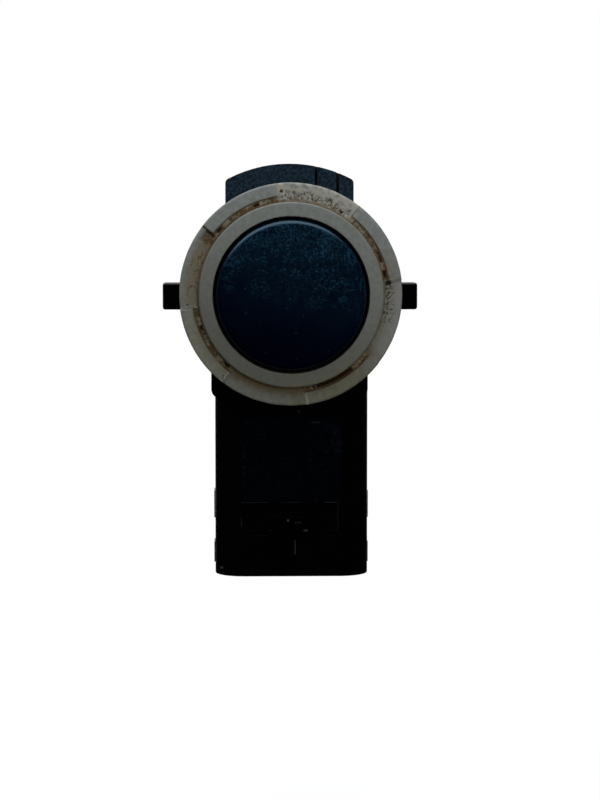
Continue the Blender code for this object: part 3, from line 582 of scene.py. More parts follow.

# %% [markdown]
# ### Silicone, and the road on it
# New silicone of this kind is a pale even grey. Years behind a bumper have packed brown
# dirt into the groove and its pockets, left a whitish pitted crust on the top sector
# and a cracked brown deposit on the left one, and turned the colour warmer towards the
# bottom. The collar is also painted darker towards the bottom as painted shade, and
# the walls at the pads' ends get painted shade or painted highlights. The tree stored
# weights for all of these on the mesh, so the finish puts each colour exactly where
# the shape gives it. A few single stains are placed by angle and radius.

# %% Read a place on the ring
DOTS = (  # angle in degrees, radius and size in mm
    (95.3, 10.75, 0.26), (78.0, 10.5, 0.14), (66.3, 10.45, 0.13), (58.9, 10.0, 0.2),
    (10.3, 10.4, 0.1), (185.5, 10.8, 0.14), (230.8, 11.25, 0.1), (230.4, 11.1, 0.1),
    (230.0, 10.95, 0.1), (3.6, 9.95, 0.15), (1.2, 10.15, 0.13), (283.8, 9.95, 0.2),
    (4.6, 10.4, 0.12), (-1.5, 9.95, 0.12),
)
ARCS = (  # first and last angle in degrees, inner and outer radius in mm
    (-74.5, -50.5, 9.64, 10.12), (135.6, 139.9, 9.8, 10.12), (109.6, 112.9, 9.78, 10.06),
    (198.6, 201.8, 9.78, 10.06), (225.6, 229.6, 9.76, 10.04), (10.8, 14.4, 9.84, 10.14),
    (5.6, 8.0, 9.92, 10.5), (142.2, 143.6, 9.9, 11.0), (19.5, 26.5, 9.92, 10.1),
)


def stored(near, name):
    """A weight that the mesh carries under this name."""
    return Number(add_node(near, "ShaderNodeAttribute", attribute_name=name).outputs["Fac"])


def read_ring(place):
    """All that the ring's colours depend on: where a point lies, the stored weights, and noise."""
    parts = split(place)
    at = SimpleNamespace(place=place, x=parts["X"], y=parts["Y"], z=parts["Z"])
    at.radius = radius_of(parts)
    degrees = calculate("DEGREES", calculate("ARCTAN2", at.z, at.x))
    at.bearing = wrapped(degrees, -60.0)
    at.from_bottom = wrapped(degrees + 90.0, -180.0)
    for name in ("groove", "pocket", "lowered", "pits", "veins", "step"):
        setattr(at, name, stored(place, name))
    at.fine = noise(place, 6.0, 4.0, 0.65)
    at.coarse = noise(place, 1.7, 4.0, 0.6)
    at.cloud = noise(place, 0.3)
    at.wavy = at.radius + (at.coarse - 0.5) * 0.5
    at.on_flange = ramp(at.y, 2.15, 2.5)
    return at


def stain_share(place):
    """How deep each point lies in the nearest of the dots, from 0 to 1."""
    flat = vector_math("MULTIPLY", place, (1.0, 0.0, 1.0))[0]
    shares = []
    for degrees, radius, size in DOTS:
        turn = math.radians(degrees)
        middle = (radius * math.cos(turn), 0.0, radius * math.sin(turn))
        away = vector_math("DISTANCE", flat, middle)["Value"]
        shares.append(ramp(away, size * 0.35, size, 1.0, 0.0))
    return highest(*shares)


def arc_share(bearing, radius):
    """The same for the arcs, whose borders wander with the noise in bearing and radius."""
    return sum(
        between(bearing, first, last, 0.6) * between(radius, inner, outer, 0.06)
        for first, last, inner, outer in ARCS
    )

# %% [markdown]
# Each function below gives some layers: where a colour lies, the colour, and how much
# of it covers what is underneath. They are laid over each other in this order.

# %% The silicone's own colour and age, and painted shade on the collar
def silicone_and_collar_shade(at):
    # The collar is painted darker towards the bottom as painted shade; the flange only turns yellower
    # there.
    lower_shade_and_yellowing = ramp(at.z + at.x * 0.3, 7.0, -9.0)
    collar = blend_colours(lower_shade_and_yellowing, (0.188, 0.206, 0.195), (0.11, 0.115, 0.101))
    flange = blend_colours(lower_shade_and_yellowing, (0.2, 0.22, 0.212), (0.205, 0.206, 0.172))
    return blend_colours(ramp(at.radius, 9.55, 9.7), collar, flange)


def ageing(at):
    """Yellow, olive and warm tints, mostly on the lower half, and a pale grain."""
    yellowed = between(at.from_bottom, -2.0, 48.0, 9.0)
    yellowed = yellowed + between(at.bearing, 2.0, 22.0, 8.0) * 0.4
    yellowed = yellowed * ramp(at.cloud, 0.3, 0.6, 0.6, 1.0)
    olive = between(at.bearing, 196.0, 228.0, 9.0) * ramp(at.radius, 9.6, 10.3)
    warm = ramp(at.wavy, 11.1, 10.3) * ramp(at.z, 7.5, 1.0, 0.25, 1.0)
    grainy = ramp(at.fine, 0.34, 0.66) * ramp(at.radius, 9.5, 9.7, 0.3, 1.0)
    return [
        (yellowed * ramp(at.radius, 8.6, 9.9, 0.1, 1.0), (0.15, 0.145, 0.075), 0.85),
        (olive, (0.26, 0.255, 0.17), 0.5),
        (warm * ramp(at.radius, 9.5, 9.7, 0.25, 1.0), (0.18, 0.165, 0.1), 0.5),
        (grainy, (0.24, 0.25, 0.235), 0.42),
        (ramp(at.coarse, 0.6, 0.38), (0.1, 0.102, 0.088), 0.3),
    ]

# %% What lies on the four lower sectors
def sector_dirt(at):
    top = between(at.bearing, 49.0, 98.5, 2.5) * at.on_flange
    left = between(at.bearing, 141.0, 186.0, 3.0) * at.lowered
    bottom = between(at.from_bottom, -44.0, 56.0, 5.0) * at.on_flange
    right = between(at.from_bottom, 56.0, 97.5, 3.0) * at.on_flange
    rusty = top * ramp(at.wavy, 10.8, 9.8)
    rusty = rusty * ramp(noise(at.place, 2.4, 3.0, 0.6), 0.5, 0.62)
    deposit = left * ramp(at.coarse, 0.3, 0.56, 0.3, 1.0)
    deposit = deposit * ramp(at.wavy, 11.2, 10.6, 0.35, 1.0)
    wandering = at.bearing + (at.coarse - 0.5) * 14.0
    upper_end = between(wandering, 142.5, 149.0, 1.5) * at.lowered
    return [
        (right * ramp(at.wavy, 9.7, 10.7), (0.27, 0.275, 0.25), 0.6),
        (top * ramp(at.coarse, 0.34, 0.56), (0.36, 0.355, 0.31), 0.8),
        (rusty, (0.19, 0.12, 0.055), 0.75),
        (deposit * ramp(at.bearing, 190.0, 145.0, 0.45, 1.0), (0.17, 0.135, 0.072), 0.85),
        (upper_end * ramp(at.fine, 0.35, 0.55), (0.055, 0.037, 0.015), 0.85),
        (bottom * ramp(at.wavy, 10.9, 9.7), (0.115, 0.083, 0.038), 0.92),
        (at.lowered * ramp(at.fine, 0.58, 0.68), (0.085, 0.07, 0.045), 0.5),
    ]

# %% The groove, and painted shade and highlights on the walls between the sectors
def groove_dirt(at):
    return [
        (at.groove * ramp(at.fine, 0.4, 0.6, 0.3, 1.0), (0.3, 0.245, 0.155), 0.85),
        (at.pocket * ramp(at.coarse, 0.38, 0.56), (0.085, 0.056, 0.025), 0.9),
        (at.groove * ramp(at.fine, 0.56, 0.66), (0.42, 0.39, 0.31), 0.75),
    ]


def wall_shade_and_highlights(at):
    """Painted shade and highlights at the pads' ends: dull or dark brown shade on some walls, none on
    one, pale highlights on the others and on two lips beside them.
    """
    # Painted shade: the walls at 52 and 187 degrees are painted dull, the one near 142 dark brown.
    dull = sum(between(at.bearing, end - 4, end + 4, 1.0) for end in (52, 187))
    brown = between(at.bearing, 138.0, 146.0, 1.0)
    bare = between(at.bearing, -42.0, -34.0, 1.0)
    wall = ramp(at.step, 0.0, 0.2)
    # Painted highlights: the other walls, but for the bare one, are painted pale, and so are two lips on
    # the pads beside them.
    pale = at.step * (1.0 - (dull + brown + bare))
    highlight_lips = sum(between(at.bearing, *span, 0.35) for span in ((278.1, 279.3), (230.5, 231.6)))
    return [
        (dull * wall, (0.08, 0.077, 0.06), 0.85),
        (brown * wall, (0.045, 0.026, 0.01), 0.85),
        (ramp(pale, 0.0, 0.2), (0.42, 0.42, 0.36), 0.8),
        (highlight_lips * ramp(at.radius, 10.2, 10.5), (0.36, 0.35, 0.265), 0.6),
    ]

# %% Lines, cracks, pits and stains, and the whole finish
def lines_and_stains(at):
    rim_line = between(at.wavy, 10.02, 10.4, 0.1) * (at.on_flange - at.lowered)
    by_collar = ramp(at.wavy, 10.0, 9.7) * at.on_flange
    small_wave = (at.coarse - 0.5) * 0.25
    turned = wrapped(at.bearing + small_wave * 8.0, -75.0)
    arcs = arc_share(turned, at.radius + small_wave)
    stains = highest(stain_share(at.place), arcs)
    stains = stains * ramp(at.fine, 0.3, 0.46, 0.8, 1.0)
    return [
        (rim_line * ramp(at.coarse, 0.36, 0.6, 0.25, 1.0), (0.105, 0.064, 0.024), 0.9),
        (by_collar * ramp(at.coarse, 0.3, 0.6, 0.5, 1.0), (0.12, 0.078, 0.032), 0.75),
        (at.veins, (0.06, 0.036, 0.016), 0.75),
        (at.pits, (0.05, 0.03, 0.016), 0.85),
        (stains * ramp(at.y, 1.5, 2.1), (0.017, 0.006, 0.002), 0.95),
    ]


def laid_over(colour, share, over, most=1.0):
    return blend_colours(share * most, colour, over)


def make_silicone():
    silicone, shader, place = start_finish("silicone", (0.19, 0.2, 0.185), 0.62)
    at = read_ring(place)
    colour = silicone_and_collar_shade(at)
    for layers in (ageing, sector_dirt, groove_dirt, wall_shade_and_highlights, lines_and_stains):
        for share, over, most in layers(at):
            colour = laid_over(colour, share, over, most)
    set_surface(shader, colour, ramp(at.lowered, 0.0, 1.0, 0.55, 0.8), 0.3)
    rough = highest(at.lowered, at.groove) * 0.9 + 0.08
    rough = rough * ramp(at.radius, 9.5, 9.7, 0.4, 1.0)
    set_bump(shader, (at.fine + at.coarse) * rough, 0.12, 0.8)
    return silicone


silicone = make_silicone()
print("silicone:", len(silicone.node_tree.nodes), "nodes")

# %% Run the tree and keep the plain mesh
def keep_plain(made):
    """Swaps the object's mesh for what its modifiers make of it, and takes them off."""
    graph = bpy.context.evaluated_depsgraph_get()
    mesh = bpy.data.meshes.new_from_object(made.evaluated_get(graph))
    mesh.name = made.name
    made.modifiers.clear()
    made.data = mesh
    return made


def run_tree(name, tree, identifiers, values):
    holder = add_object(name, bpy.data.meshes.new(name))
    modifier = holder.modifiers.new(name, "NODES")
    modifier.node_group = tree
    for label, value in values.items():
        modifier[identifiers[label]] = value
    return keep_plain(holder)


def face_outwards(piece):
    work = bmesh.new()
    work.from_mesh(piece.data)
    bmesh.ops.recalc_face_normals(work, faces=work.faces)
    finish_work(work, piece.data, piece.name)


silicone_ring = run_tree("silicone_ring", ring_tree, ring_inputs, {
    "Half section": ring_section,
    "Rows": len(section) + 1,
    "Columns": RING_COLUMNS,
    "Pad height": 0.45 * MM,
    "Recess depth": 0.12 * MM,
    "Pocket depth": 0.25 * MM,
    "Pit depth": 0.16 * MM,
    "Lump height": 0.13 * MM,
    "Unevenness": 0.035 * MM,
    "Finish": silicone,
})
face_outwards(silicone_ring)
bpy.data.objects.remove(ring_section)
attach(silicone_ring, "root")
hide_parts("decoupling_ring")

# %% [markdown]
# ## The moulded housing
# The body is one black glass-filled moulding. Its mould is polished where the holder
# and the plug slide, and eroded by sparks on the hood, which leaves a fine even grain
# that scatters light; on the hood's front a lighter, bluer colour is painted on as
# painted sheen. The front of the body is painted darker than its back as painted
# shade, and the panel on the socket is a touch bluer. Its bevelled edges and a few thin
# glints on the front are painted lighter, as painted highlights.

# %% The housing's plastic
PANEL = ((-5.25, 5.58), (-22.5, -13.4))  # across and up, in mm
SCUFFED_PATCH = ((4.6, 5.6), (-17.2, -14.2))
HOUSING_ROUNDING = 0.06
# Painted highlights: thin glints on edges of the socket's front and its latch.
GLINT_MARKS = (  # left and right, lower and upper edge in mm, and strength
    (-5.16, -2.43, -22.62, -22.5, 0.9), (-0.97, 1.07, -22.62, -22.5, 0.8),
    (2.75, 2.95, -22.62, -22.5, 0.5), (3.71, 5.33, -22.62, -22.5, 1.0),
    (0.54, 0.64, -28.16, -26.64, 1.0), (5.16, 5.3, -25.8, -22.75, 0.2),
    (-0.3, -0.05, -24.6, -24.3, 1.0), (0.5, 1.3, -24.75, -24.6, 0.45),
    (1.5, 1.95, -25.65, -25.45, 1.0), (0.85, 1.1, -12.8, -12.6, 0.5),
    (2.3, 3.3, -13.93, -13.83, 0.45), (-7.5, -7.15, -29.9, -29.65, 1.0),
    (-5.25, -5.1, -25.2, -24.2, 0.25), (-2.15, -2.0, -25.6, -25.45, 0.6),
)


def on_front(parts, span_x, span_z, soft):
    """1 inside a rectangle as seen from in front, in millimetres, with soft borders."""
    return between(parts["X"], *span_x, soft[0]) * between(parts["Z"], *span_z, soft[1])


def painted_glints(parts):
    """Painted highlights: thin glints on edges of the socket's front, its latch and a corner."""
    return sum(
        on_front(parts, (left, right), (lower, upper), (0.03, 0.03)) * strength
        for left, right, lower, upper, strength in GLINT_MARKS
    )


def plastic_and_front_shade(place, parts):
    """Near-black in front as painted shade, a little less black further back, and bluer on the panel."""
    flow = noise(place, 0.5, 4.0)
    front = blend_colours(flow, (0.0001, 0.0001, 0.0002), (0.0003, 0.0004, 0.0009))
    back = blend_colours(flow, (0.011, 0.0115, 0.013), (0.016, 0.0165, 0.018))
    # One plastic, painted near-black in front as painted shade and lighter further back.
    colour = blend_colours(ramp(parts["Y"], 12.0, 13.0), front, back)
    panel = on_front(parts, *PANEL, (0.1, 0.3))
    panel = panel * ramp(parts["Y"], 9.6, 9.8, 1.0, 0.0)
    return laid_over(colour, panel, (0.0, 0.0007, 0.0038), 0.9), panel


def glints_and_specks(place, parts, panel, grain):
    """Layers: painted highlights along the bevelled edges, flecks on the panel, a scuffed patch, and
    painted glints.
    """
    # Painted highlights along the bevelled edges, broken up by noise.
    edges = stored(place, "edge") * ramp(noise(place, 2.2, 4.0, 0.65), 0.48, 0.6)
    scuffed = on_front(parts, *SCUFFED_PATCH, (0.3, 0.3))
    scuffed = scuffed * ramp(noise(place, 5.0, 3.0, 0.7), 0.52, 0.66)
    specks = flecks(place, 2.3, (0.12, 0.24), (0.56, 0.7)) * panel + scuffed
    glints = painted_glints(parts) * ramp(parts["Y"], 11.0, 11.2, 1.0, 0.0)
    return [
        (edges, (0.035, 0.04, 0.037), 0.5),
        (specks, (0.024, 0.03, 0.035), 0.7),
        (glints * ramp(grain, 0.3, 0.6, 0.45, 1.0), (0.065, 0.077, 0.075), 1.0),
    ]


def make_housing_plastic():
    plastic, shader, place = start_finish("housing_plastic", (0.006, 0.007, 0.009), 0.42)
    parts = split(place)
    grain = noise(place, 7.0, 2.0, 0.5)
    colour, panel = plastic_and_front_shade(place, parts)
    # On the hood's front the colour is lighter and bluer: painted sheen, mottled by the eroded grain.
    eroded = ramp(parts["Z"], 8.2, 8.6) * ramp(parts["Y"], 9.03, 9.1, 1.0, 0.0)
    mottle = ramp(noise(place, 3.2, 5.0, 0.75), 0.36, 0.66)
    grain_and_sheen = blend_colours(mottle, (0.001, 0.0028, 0.0055), (0.0135, 0.034, 0.056))
    colour = blend_colours(eroded, colour, grain_and_sheen)
    dust = ramp(noise(place, 4.0, 6.0, 0.75), 0.64, 0.74)
    colour = laid_over(colour, dust, (0.05, 0.06, 0.065), 0.1)
    for share, over, most in glints_and_specks(place, parts, panel, grain):
        colour = laid_over(colour, share, over, most)
    set_surface(shader, colour, ramp(eroded, 0.0, 1.0, 0.33, 0.65), 0.25)
    set_bump(shader, grain * ramp(eroded, 0.0, 1.0, 0.05, 1.0), 0.05, 0.8)
    return plastic


housing_plastic = make_housing_plastic()
for node, name in (("housing", "moulded_housing"), ("rear_cover", "rear_lid")):
    smooth_copy(node, name, housing_plastic, HOUSING_ROUNDING)

# %% [markdown]
# ## Tinned copper
# The three blades in the socket, the two contacts and their leads are copper alloy
# under a thin coat of tin. Tin is bright where it was last wiped and dull where it has
# oxidised, so noise moves its roughness, and fine lines run the way it was drawn. The
# blades are stamped, which rounds their edges, so they get smooth copies too.

# %% Tin on the blades, contacts and leads
BLADE_ROUNDING = 0.05
TIN = (0.62, 0.62, 0.59)
DULL_TIN = (0.44, 0.44, 0.42)


def make_tinned_copper(name, drawn):
    tin, shader, place = start_finish(name, TIN, 0.32, metallic=1.0)
    dull = noise(place, 1.1, 4.0)
    stretched = add_node(place, "ShaderNodeMapping", {"Vector": place, "Scale": drawn}).outputs[0]
    colour = blend_colours(ramp(dull, 0.35, 0.7), TIN, DULL_TIN)
    set_surface(shader, colour, ramp(dull, 0.3, 0.7, 0.2, 0.46))
    set_bump(shader, noise(stretched, 1.0), 0.01, 0.5)
    return tin


def dress(finish, *nodes):
    for name in nodes:
        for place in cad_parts[name].material_slots:
            place.material = finish


blade_tin = make_tinned_copper("blade_tin", (14.0, 14.0, 0.7))
for side in ("left", "middle", "right"):
    smooth_copy(f"terminal_{side}", f"blade_{side}", blade_tin, BLADE_ROUNDING)
contact_tin = make_tinned_copper("contact_tin", (14.0, 0.7, 14.0))
dress(contact_tin, "contact_pin_left", "contact_pin_right", "piezo_lead_left", "piezo_lead_right")

# %% [markdown]
# ## The transducer's own pieces
# Behind the sensing face lie a ceramic disc with a printed silver electrode, a pad of
# open-cell foam that stops the cup ringing on, a cast of dark resin, and the black
# carrier of the contacts. Each finish shows how the piece is made: screen print, cells,
# small bubbles, and the flow lines of a moulding.

# %% Ceramic disc
def make_piezo_ceramic():
    ceramic, shader, place = start_finish("piezo_ceramic", (0.55, 0.5, 0.4), 0.4)
    silver = ramp(radius_of(split(place)), 3.82, 3.86, 1.0, 0.0)
    screen = cells(place, 9.0, 0.25)
    tarnish = noise(place, 0.9, 4.0)
    fired = blend_colours(noise(place, 5.0), (0.6, 0.54, 0.42), (0.45, 0.4, 0.31))
    printed = blend_colours(tarnish, (0.75, 0.74, 0.7), (0.55, 0.52, 0.45))
    colour = blend_colours(silver, fired, printed)
    connect(silver * 0.9, shader.inputs["Metallic"])
    set_surface(shader, colour, ramp(tarnish, 0.3, 0.7, 0.3, 0.5))
    set_bump(shader, silver * screen["Distance"], 0.02, 0.5)
    return ceramic


dress(make_piezo_ceramic(), "piezo_disc")

# %% Resin and black mouldings
def make_potting():
    potting, shader, place = start_finish("potting", (0.05, 0.05, 0.055), 0.3)
    bubble = flecks(place, 1.3, (0.1, 0.2), (0.55, 0.6))
    cloudy = noise(place, 0.5)
    colour = blend_colours(cloudy, (0.085, 0.085, 0.095), (0.12, 0.12, 0.13))
    # The bubbles are painted darker, as painted shade in their hollows.
    colour = blend_colours(bubble * 0.7, colour, (0.03, 0.03, 0.035))
    set_surface(shader, colour, ramp(cloudy, 0.3, 0.7, 0.22, 0.42))
    set_bump(shader, cloudy * 0.6 - bubble, 0.06, 0.7)
    return potting


def make_component_black():
    black, shader, place = start_finish("component_black", (0.02, 0.02, 0.02), 0.45)
    grain = noise(place, 8.0, 2.0, 0.5)
    flow = noise(place, 0.7, 4.0, 0.6)
    colour = blend_colours(flow, (0.014, 0.014, 0.015), (0.03, 0.03, 0.031))
    set_surface(shader, colour, ramp(grain, 0.3, 0.7, 0.38, 0.56))
    set_bump(shader, grain, 0.015, 0.6)
    return black


dress(make_potting(), "cup_potting")
dress(make_component_black(), "contact_carrier", "transformer_base")

# %% [markdown]
# ### The foam pad
# Open-cell foam has no smooth skin: a punched pad has slightly pulled-in edges and a
# face full of small holes. Real holes in a mesh would cost many faces, so the copy is
# only remeshed finely, its edges are rounded by smoothing, and its faces are dented by
# a fine noise. The cells are in the finish, their hollows painted dark as painted shade.

# %% Foam pad
FOAM_VOXEL = 0.22
FOAM_DENT = 0.05


def make_foam():
    foam, shader, place = start_finish("foam", (0.35, 0.35, 0.36), 0.9)
    wall = ramp(cells(place, 3.2)["Distance"], 0.15, 0.55)
    light = blend_colours(noise(place, 0.6), (0.42, 0.42, 0.43), (0.32, 0.32, 0.33))
    # The cells' hollows are painted dark as painted shade.
    colour = blend_colours(wall, (0.12, 0.12, 0.125), light)
    set_surface(shader, colour, ramp(wall, 0.0, 1.0, 1.0, 0.8))
    set_bump(shader, wall, 0.12, 0.8)
    return foam


def make_foam_pad():
    mesh = bpy.data.meshes.new("foam_pad")
    work = welded_copy("damping_foam")
    finish_work(work, mesh, "welded foam")
    low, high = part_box("damping_foam")
    pad = add_object("foam_pad", mesh)
    remesh = pad.modifiers.new("remesh", "REMESH")
    remesh.mode, remesh.voxel_size = "VOXEL", FOAM_VOXEL * MM
    smooth = pad.modifiers.new("smooth", "SMOOTH")
    smooth.iterations, smooth.factor = 4, 0.5
    keep_plain(pad)
    for vertex in pad.data.vertices:
        dent = solid_noise.noise(vertex.co / (0.4 * MM)) * FOAM_DENT * MM
        moved = vertex.co - vertex.normal * (abs(dent) + 0.01 * MM)
        vertex.co = Vector([min(max(value, a), b) for value, a, b in zip(moved, low, high)])
    pad.data.shade_smooth()
    return pad


foam_pad = make_foam_pad()
foam_pad.data.materials.append(make_foam())
face_outwards(foam_pad)
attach(foam_pad, "root")
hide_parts("damping_foam")

# %% [markdown]
# ## The circuit board
# A board this small has a green solder mask over short straight tracks that turn at
# right angles. Tracks are drawn in squares of a couple of millimetres: in some they run
# up, in others across, chosen by a noise that is constant inside each square. The cut
# edges show the woven glass of the laminate instead of the mask.

# %% Solder mask and tracks
TRACK_SQUARE = 2.4
TRACK_PITCH = 0.6
BOARD_MIDDLE = 13.1


def make_board():
    board, shader, place = start_finish("board", (0.02, 0.12, 0.05), 0.3)
    parts = split(place)
    square = vector_math("SNAP", place, (TRACK_SQUARE, 100.0, TRACK_SQUARE))[0]
    pick = add_node(place, "ShaderNodeTexWhiteNoise", {"Vector": square}, noise_dimensions="3D")
    upright = calculate("GREATER_THAN", pick.outputs["Value"], 0.5)
    stripes = []
    for axis in ("X", "Z"):
        swing = calculate("PINGPONG", parts[axis], TRACK_PITCH / 2)
        stripes.append(ramp(swing, 0.1, 0.14, 1.0, 0.0))
    track = blend_numbers(upright, stripes[1], stripes[0])
    face = ramp(calculate("ABSOLUTE", parts["Y"] - BOARD_MIDDLE), 0.47, 0.49)
    inputs = {"Vector": place, "Scale": 4.0, "Distortion": 1.0}
    weave = add_node(place, "ShaderNodeTexWave", inputs).outputs["Fac"]
    mask = blend_colours(track, (0.008, 0.06, 0.025), (0.03, 0.16, 0.06))
    laminate = blend_colours(weave, (0.32, 0.27, 0.13), (0.42, 0.37, 0.2))
    colour = blend_colours(face, laminate, mask)
    set_surface(shader, colour, ramp(face, 0.0, 1.0, 0.7, 0.3))
    set_bump(shader, track * face, 0.03, 0.7)
    return board


dress(make_board(), "circuit_board")

# %% [markdown]
# ## Small components
# A ceramic capacitor, a resistor and a diode are all a body between two tinned ends. A
# finish for each one takes the node's own box, so that the ends come out the right
# length on every size: tin within a short way of either end, and the body between them.

# %% Bodies with tinned ends
def dress_capped(node, axis, body, body_dark, cap_mm):
    low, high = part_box(node)
    finish, shader, place = start_finish(node, body, 0.35)
    parts = split(place)
    index = "XYZ".index(axis)
    centre = (low[index] + high[index]) / 2 / MM
    half = (high[index] - low[index]) / 2 / MM
    away = calculate("ABSOLUTE", parts[axis] - centre)
    waver = noise(place, 2.5) * 0.05
    cap = ramp(away + waver, half - cap_mm, half - cap_mm + 0.03)
    grain = noise(place, 9.0, 3.0, 0.6)
    fired = blend_colours(grain, body, body_dark)
    tin = blend_colours(noise(place, 2.0), TIN, DULL_TIN)
    colour = blend_colours(cap, fired, tin)
    connect(cap, shader.inputs["Metallic"])
    set_surface(shader, colour, ramp(grain, 0.3, 0.7, 0.3, 0.48))
    set_bump(shader, grain + cap, 0.015, 0.6)
    dress(finish, node)


TAN, TAN_DARK = (0.46, 0.31, 0.18), (0.33, 0.21, 0.12)
BLACK, BLACK_GREY = (0.012, 0.012, 0.013), (0.03, 0.03, 0.032)
for number in range(1, 5):
    dress_capped(f"filter_capacitor_{number}", "Z", TAN, TAN_DARK, 0.35)
    dress_capped(f"resistor_{number}", "Z", BLACK, BLACK_GREY, 0.3)
dress_capped("bulk_capacitor", "X", TAN, TAN_DARK, 0.5)
dress_capped("clamp_diode", "Z", BLACK, BLACK_GREY, 0.25)
dress_capped("driver_chip", "Z", BLACK_GREY, BLACK, 0.8)

# %% [markdown]
# ## The transformer
# A pressed ferrite spool holds some turns of enamelled wire. The turns are a spiral of
# one wire, which is exactly what the Curve Spiral node draws, so a small tree sweeps a
# round wire along it and puts a plain sleeve underneath for the layers below.

# %% Ferrite and enamelled wire
def make_ferrite():
    ferrite, shader, place = start_finish("ferrite", (0.05, 0.05, 0.055), 0.5)
    grain = noise(place, 10.0, 3.0, 0.7)
    chips = ramp(noise(place, 1.6, 5.0, 0.7), 0.62, 0.7)
    colour = blend_colours(grain, (0.035, 0.035, 0.04), (0.075, 0.075, 0.08))
    colour = blend_colours(chips, colour, (0.12, 0.12, 0.125))
    set_surface(shader, colour, ramp(grain, 0.3, 0.7, 0.4, 0.65))
    set_bump(shader, grain - chips, 0.03, 0.7)
    return ferrite


def make_copper_wire():
    wire, shader, place = start_finish("copper_wire", (0.55, 0.22, 0.08), 0.28, metallic=0.85)
    enamel = noise(place, 1.2)
    colour = blend_colours(enamel, (0.62, 0.26, 0.1), (0.4, 0.13, 0.045))
    set_surface(shader, colour, ramp(enamel, 0.3, 0.7, 0.2, 0.36))
    set_bump(shader, noise(place, 6.0), 0.01, 0.5)
    return wire


dress(make_ferrite(), "transformer_core")

# %% Wind the wire
WINDING_TURNS = 6


def build_winding_tree():
    tree, ids, source, target = new_tree("winding_rule", {
        "Float": ["Turns", "Radius", "Length", "Wire radius", "Sleeve"],
        "Vector": ["Place"],
        "Material": ["Finish"],
    })
    spiral = add_node(tree, "GeometryNodeCurveSpiral", {
        "Resolution": 40, "Rotations": source["Turns"], "Start Radius": source["Radius"],
        "End Radius": source["Radius"], "Height": source["Length"],
    })
    inside = source["Radius"] - source["Sleeve"] * 0.5
    wire, hoop = [
        add_node(tree, "GeometryNodeCurvePrimitiveCircle", {"Resolution": count, "Radius": radius})
        for count, radius in ((8, source["Wire radius"]), (48, inside))
    ]
    inputs = {"Width": source["Sleeve"], "Height": source["Length"]}
    slab = add_node(tree, "GeometryNodeCurvePrimitiveQuadrilateral", inputs)
    wound, sleeve = [
        add_node(tree, "GeometryNodeCurveToMesh", {
            "Curve": path.outputs[0], "Profile Curve": profile.outputs[0], "Fill Caps": capped,
        })
        for path, profile, capped in ((spiral, wire, True), (hoop, slab, False))
    ]
    raised = add_node(tree, "ShaderNodeCombineXYZ", {"Z": source["Length"] * 0.5}).outputs[0]
    inputs = {"Geometry": sleeve.outputs[0], "Translation": raised}
    lifted = add_node(tree, "GeometryNodeTransform", inputs)
    both = add_node(tree, "GeometryNodeJoinGeometry")
    connect(wound.outputs[0], both.inputs[0])
    connect(lifted.outputs[0], both.inputs[0])
    turned = add_node(tree, "GeometryNodeTransform", {
        "Geometry": both.outputs[0], "Translation": source["Place"],
        "Rotation": (-math.pi / 2, 0.0, 0.0),
    })
    finish_mesh(turned.outputs[0], source["Finish"], target)
    return tree, ids


winding_low, winding_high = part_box("transformer_winding")
wire_radius = (winding_high.y - winding_low.y) / (2 * WINDING_TURNS + 2)
winding_tree, winding_inputs = build_winding_tree()
wound_wire = run_tree("wound_wire", winding_tree, winding_inputs, {
    "Turns": float(WINDING_TURNS),
    "Radius": winding_high.x - wire_radius,
    "Length": winding_high.y - winding_low.y - 2 * wire_radius,
    "Wire radius": wire_radius,
    "Sleeve": 0.7 * MM,
    "Place": (0.0, winding_low.y + wire_radius, (winding_low.z + winding_high.z) / 2),
    "Finish": make_copper_wire(),
})
wound_wire.data.set_sharp_from_angle(angle=SHARP_ANGLE)
face_outwards(wound_wire)
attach(wound_wire, "root")
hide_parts("transformer_winding")

# %% [markdown]
# ## Light and floor
# One small soft lamp stands close in front of the sensor, a little above it, so the
# light falls off from the hood down to the socket, as it does in the photograph. A
# faint cold sun from above stands for the sky. In reflections the room is dark, which
# keeps the black plastic black, but for a bright patch high up and the white behind.

# %% Lamps
def aim(lamp, place, target):
    lamp.location = place
    lamp.rotation_mode = "QUATERNION"
    lamp.rotation_quaternion = (Vector(target) - Vector(place)).to_track_quat("-Z", "Y")
    lamp.visible_glossy = False


window_data = bpy.data.lights.new("window", "SPOT")
window_data.energy = 1.14
window_data.shadow_soft_size = 38 * MM
window_data.spot_size = math.radians(25)
window_data.spot_blend = 1.0
window = add_object("window", window_data)
aim(window, (14 * MM, -160 * MM, 28 * MM), (3 * MM, 4 * MM, 20 * MM))

sky_data = bpy.data.lights.new("skylight", "SUN")
sky_data.energy = 1.1
sky_data.color = (0.82, 0.93, 1.0)
sky_data.angle = math.radians(25)
aim(add_object("skylight", sky_data), (-20 * MM, 0, 200 * MM), (0, 0, 0))

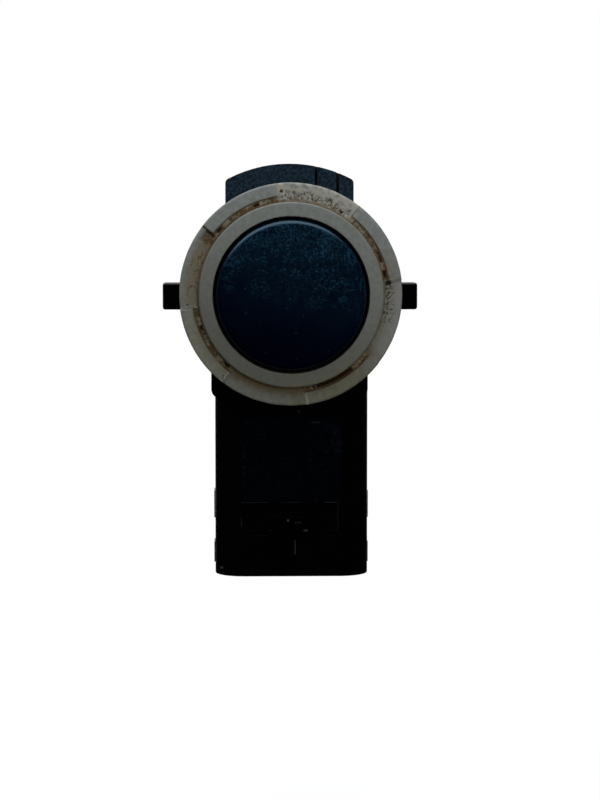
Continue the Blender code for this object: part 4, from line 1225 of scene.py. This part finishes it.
# %% The room
def make_room():
    world = bpy.data.worlds.new("studio")
    bpy.context.scene.world = world
    world.use_nodes = True
    tree = world.node_tree
    tree.nodes.clear()
    path = add_node(tree, "ShaderNodeLightPath").outputs
    parts = split(add_node(tree, "ShaderNodeTexCoord").outputs["Generated"])
    behind = ramp(parts["Y"], 0.8, 1.0)
    above = ramp(parts["Z"] - parts["X"] * 0.15, 0.55, 0.85, 0.0, 3.1)
    room_level = ramp(parts["Z"], -0.7, 0.9, 0.16, 0.46)
    glossy_level = highest(behind, above, 0.004)
    seen = highest(path["Is Camera Ray"], path["Is Transmission Ray"])
    glossy_part = blend_numbers(path["Is Glossy Ray"], room_level, glossy_level)
    whole = blend_numbers(seen, glossy_part, 1.0)
    shade = add_node(tree, "ShaderNodeBackground", {"Color": (1, 1, 1, 1), "Strength": whole})
    add_node(tree, "ShaderNodeOutputWorld", {0: shade.outputs[0]})


make_room()

# %% Floor
def make_floor():
    mesh = bpy.data.meshes.new("floor")
    half, level = 2.0, -58 * MM
    corners = [(x, y, level) for x, y in ((-half, -half), (half, -half), (half, half), (-half, half))]
    mesh.from_pydata(corners, [], [(0, 1, 2, 3)])
    made = bpy.data.materials.new("floor")
    made.use_nodes = True
    tree = made.node_tree
    tree.nodes.clear()
    path = add_node(tree, "ShaderNodeLightPath").outputs
    white = add_node(tree, "ShaderNodeEmission", {"Color": (1, 1, 1, 1), "Strength": 1.06})
    parts = split(add_node(tree, "ShaderNodeTexCoord").outputs["Object"])
    beside = calculate("ABSOLUTE", parts["X"]) + 30 * MM
    behind = ramp(calculate("DIVIDE", parts["Y"], beside), 2.0, 4.0)
    seen = highest(path["Is Camera Ray"], behind * path["Is Glossy Ray"], path["Is Transmission Ray"])
    pale = blend_colours(seen, (0.012, 0.012, 0.012), (0.85, 0.85, 0.85))
    card = add_node(tree, "ShaderNodeBsdfDiffuse", {"Color": pale})
    inputs = {0: seen * 0.88, 1: card.outputs[0], 2: white.outputs[0]}
    mixed = add_node(tree, "ShaderNodeMixShader", inputs)
    add_node(tree, "ShaderNodeOutputMaterial", {0: mixed.outputs[0]})
    mesh.materials.append(made)
    floor = add_object("floor", mesh)


make_floor()
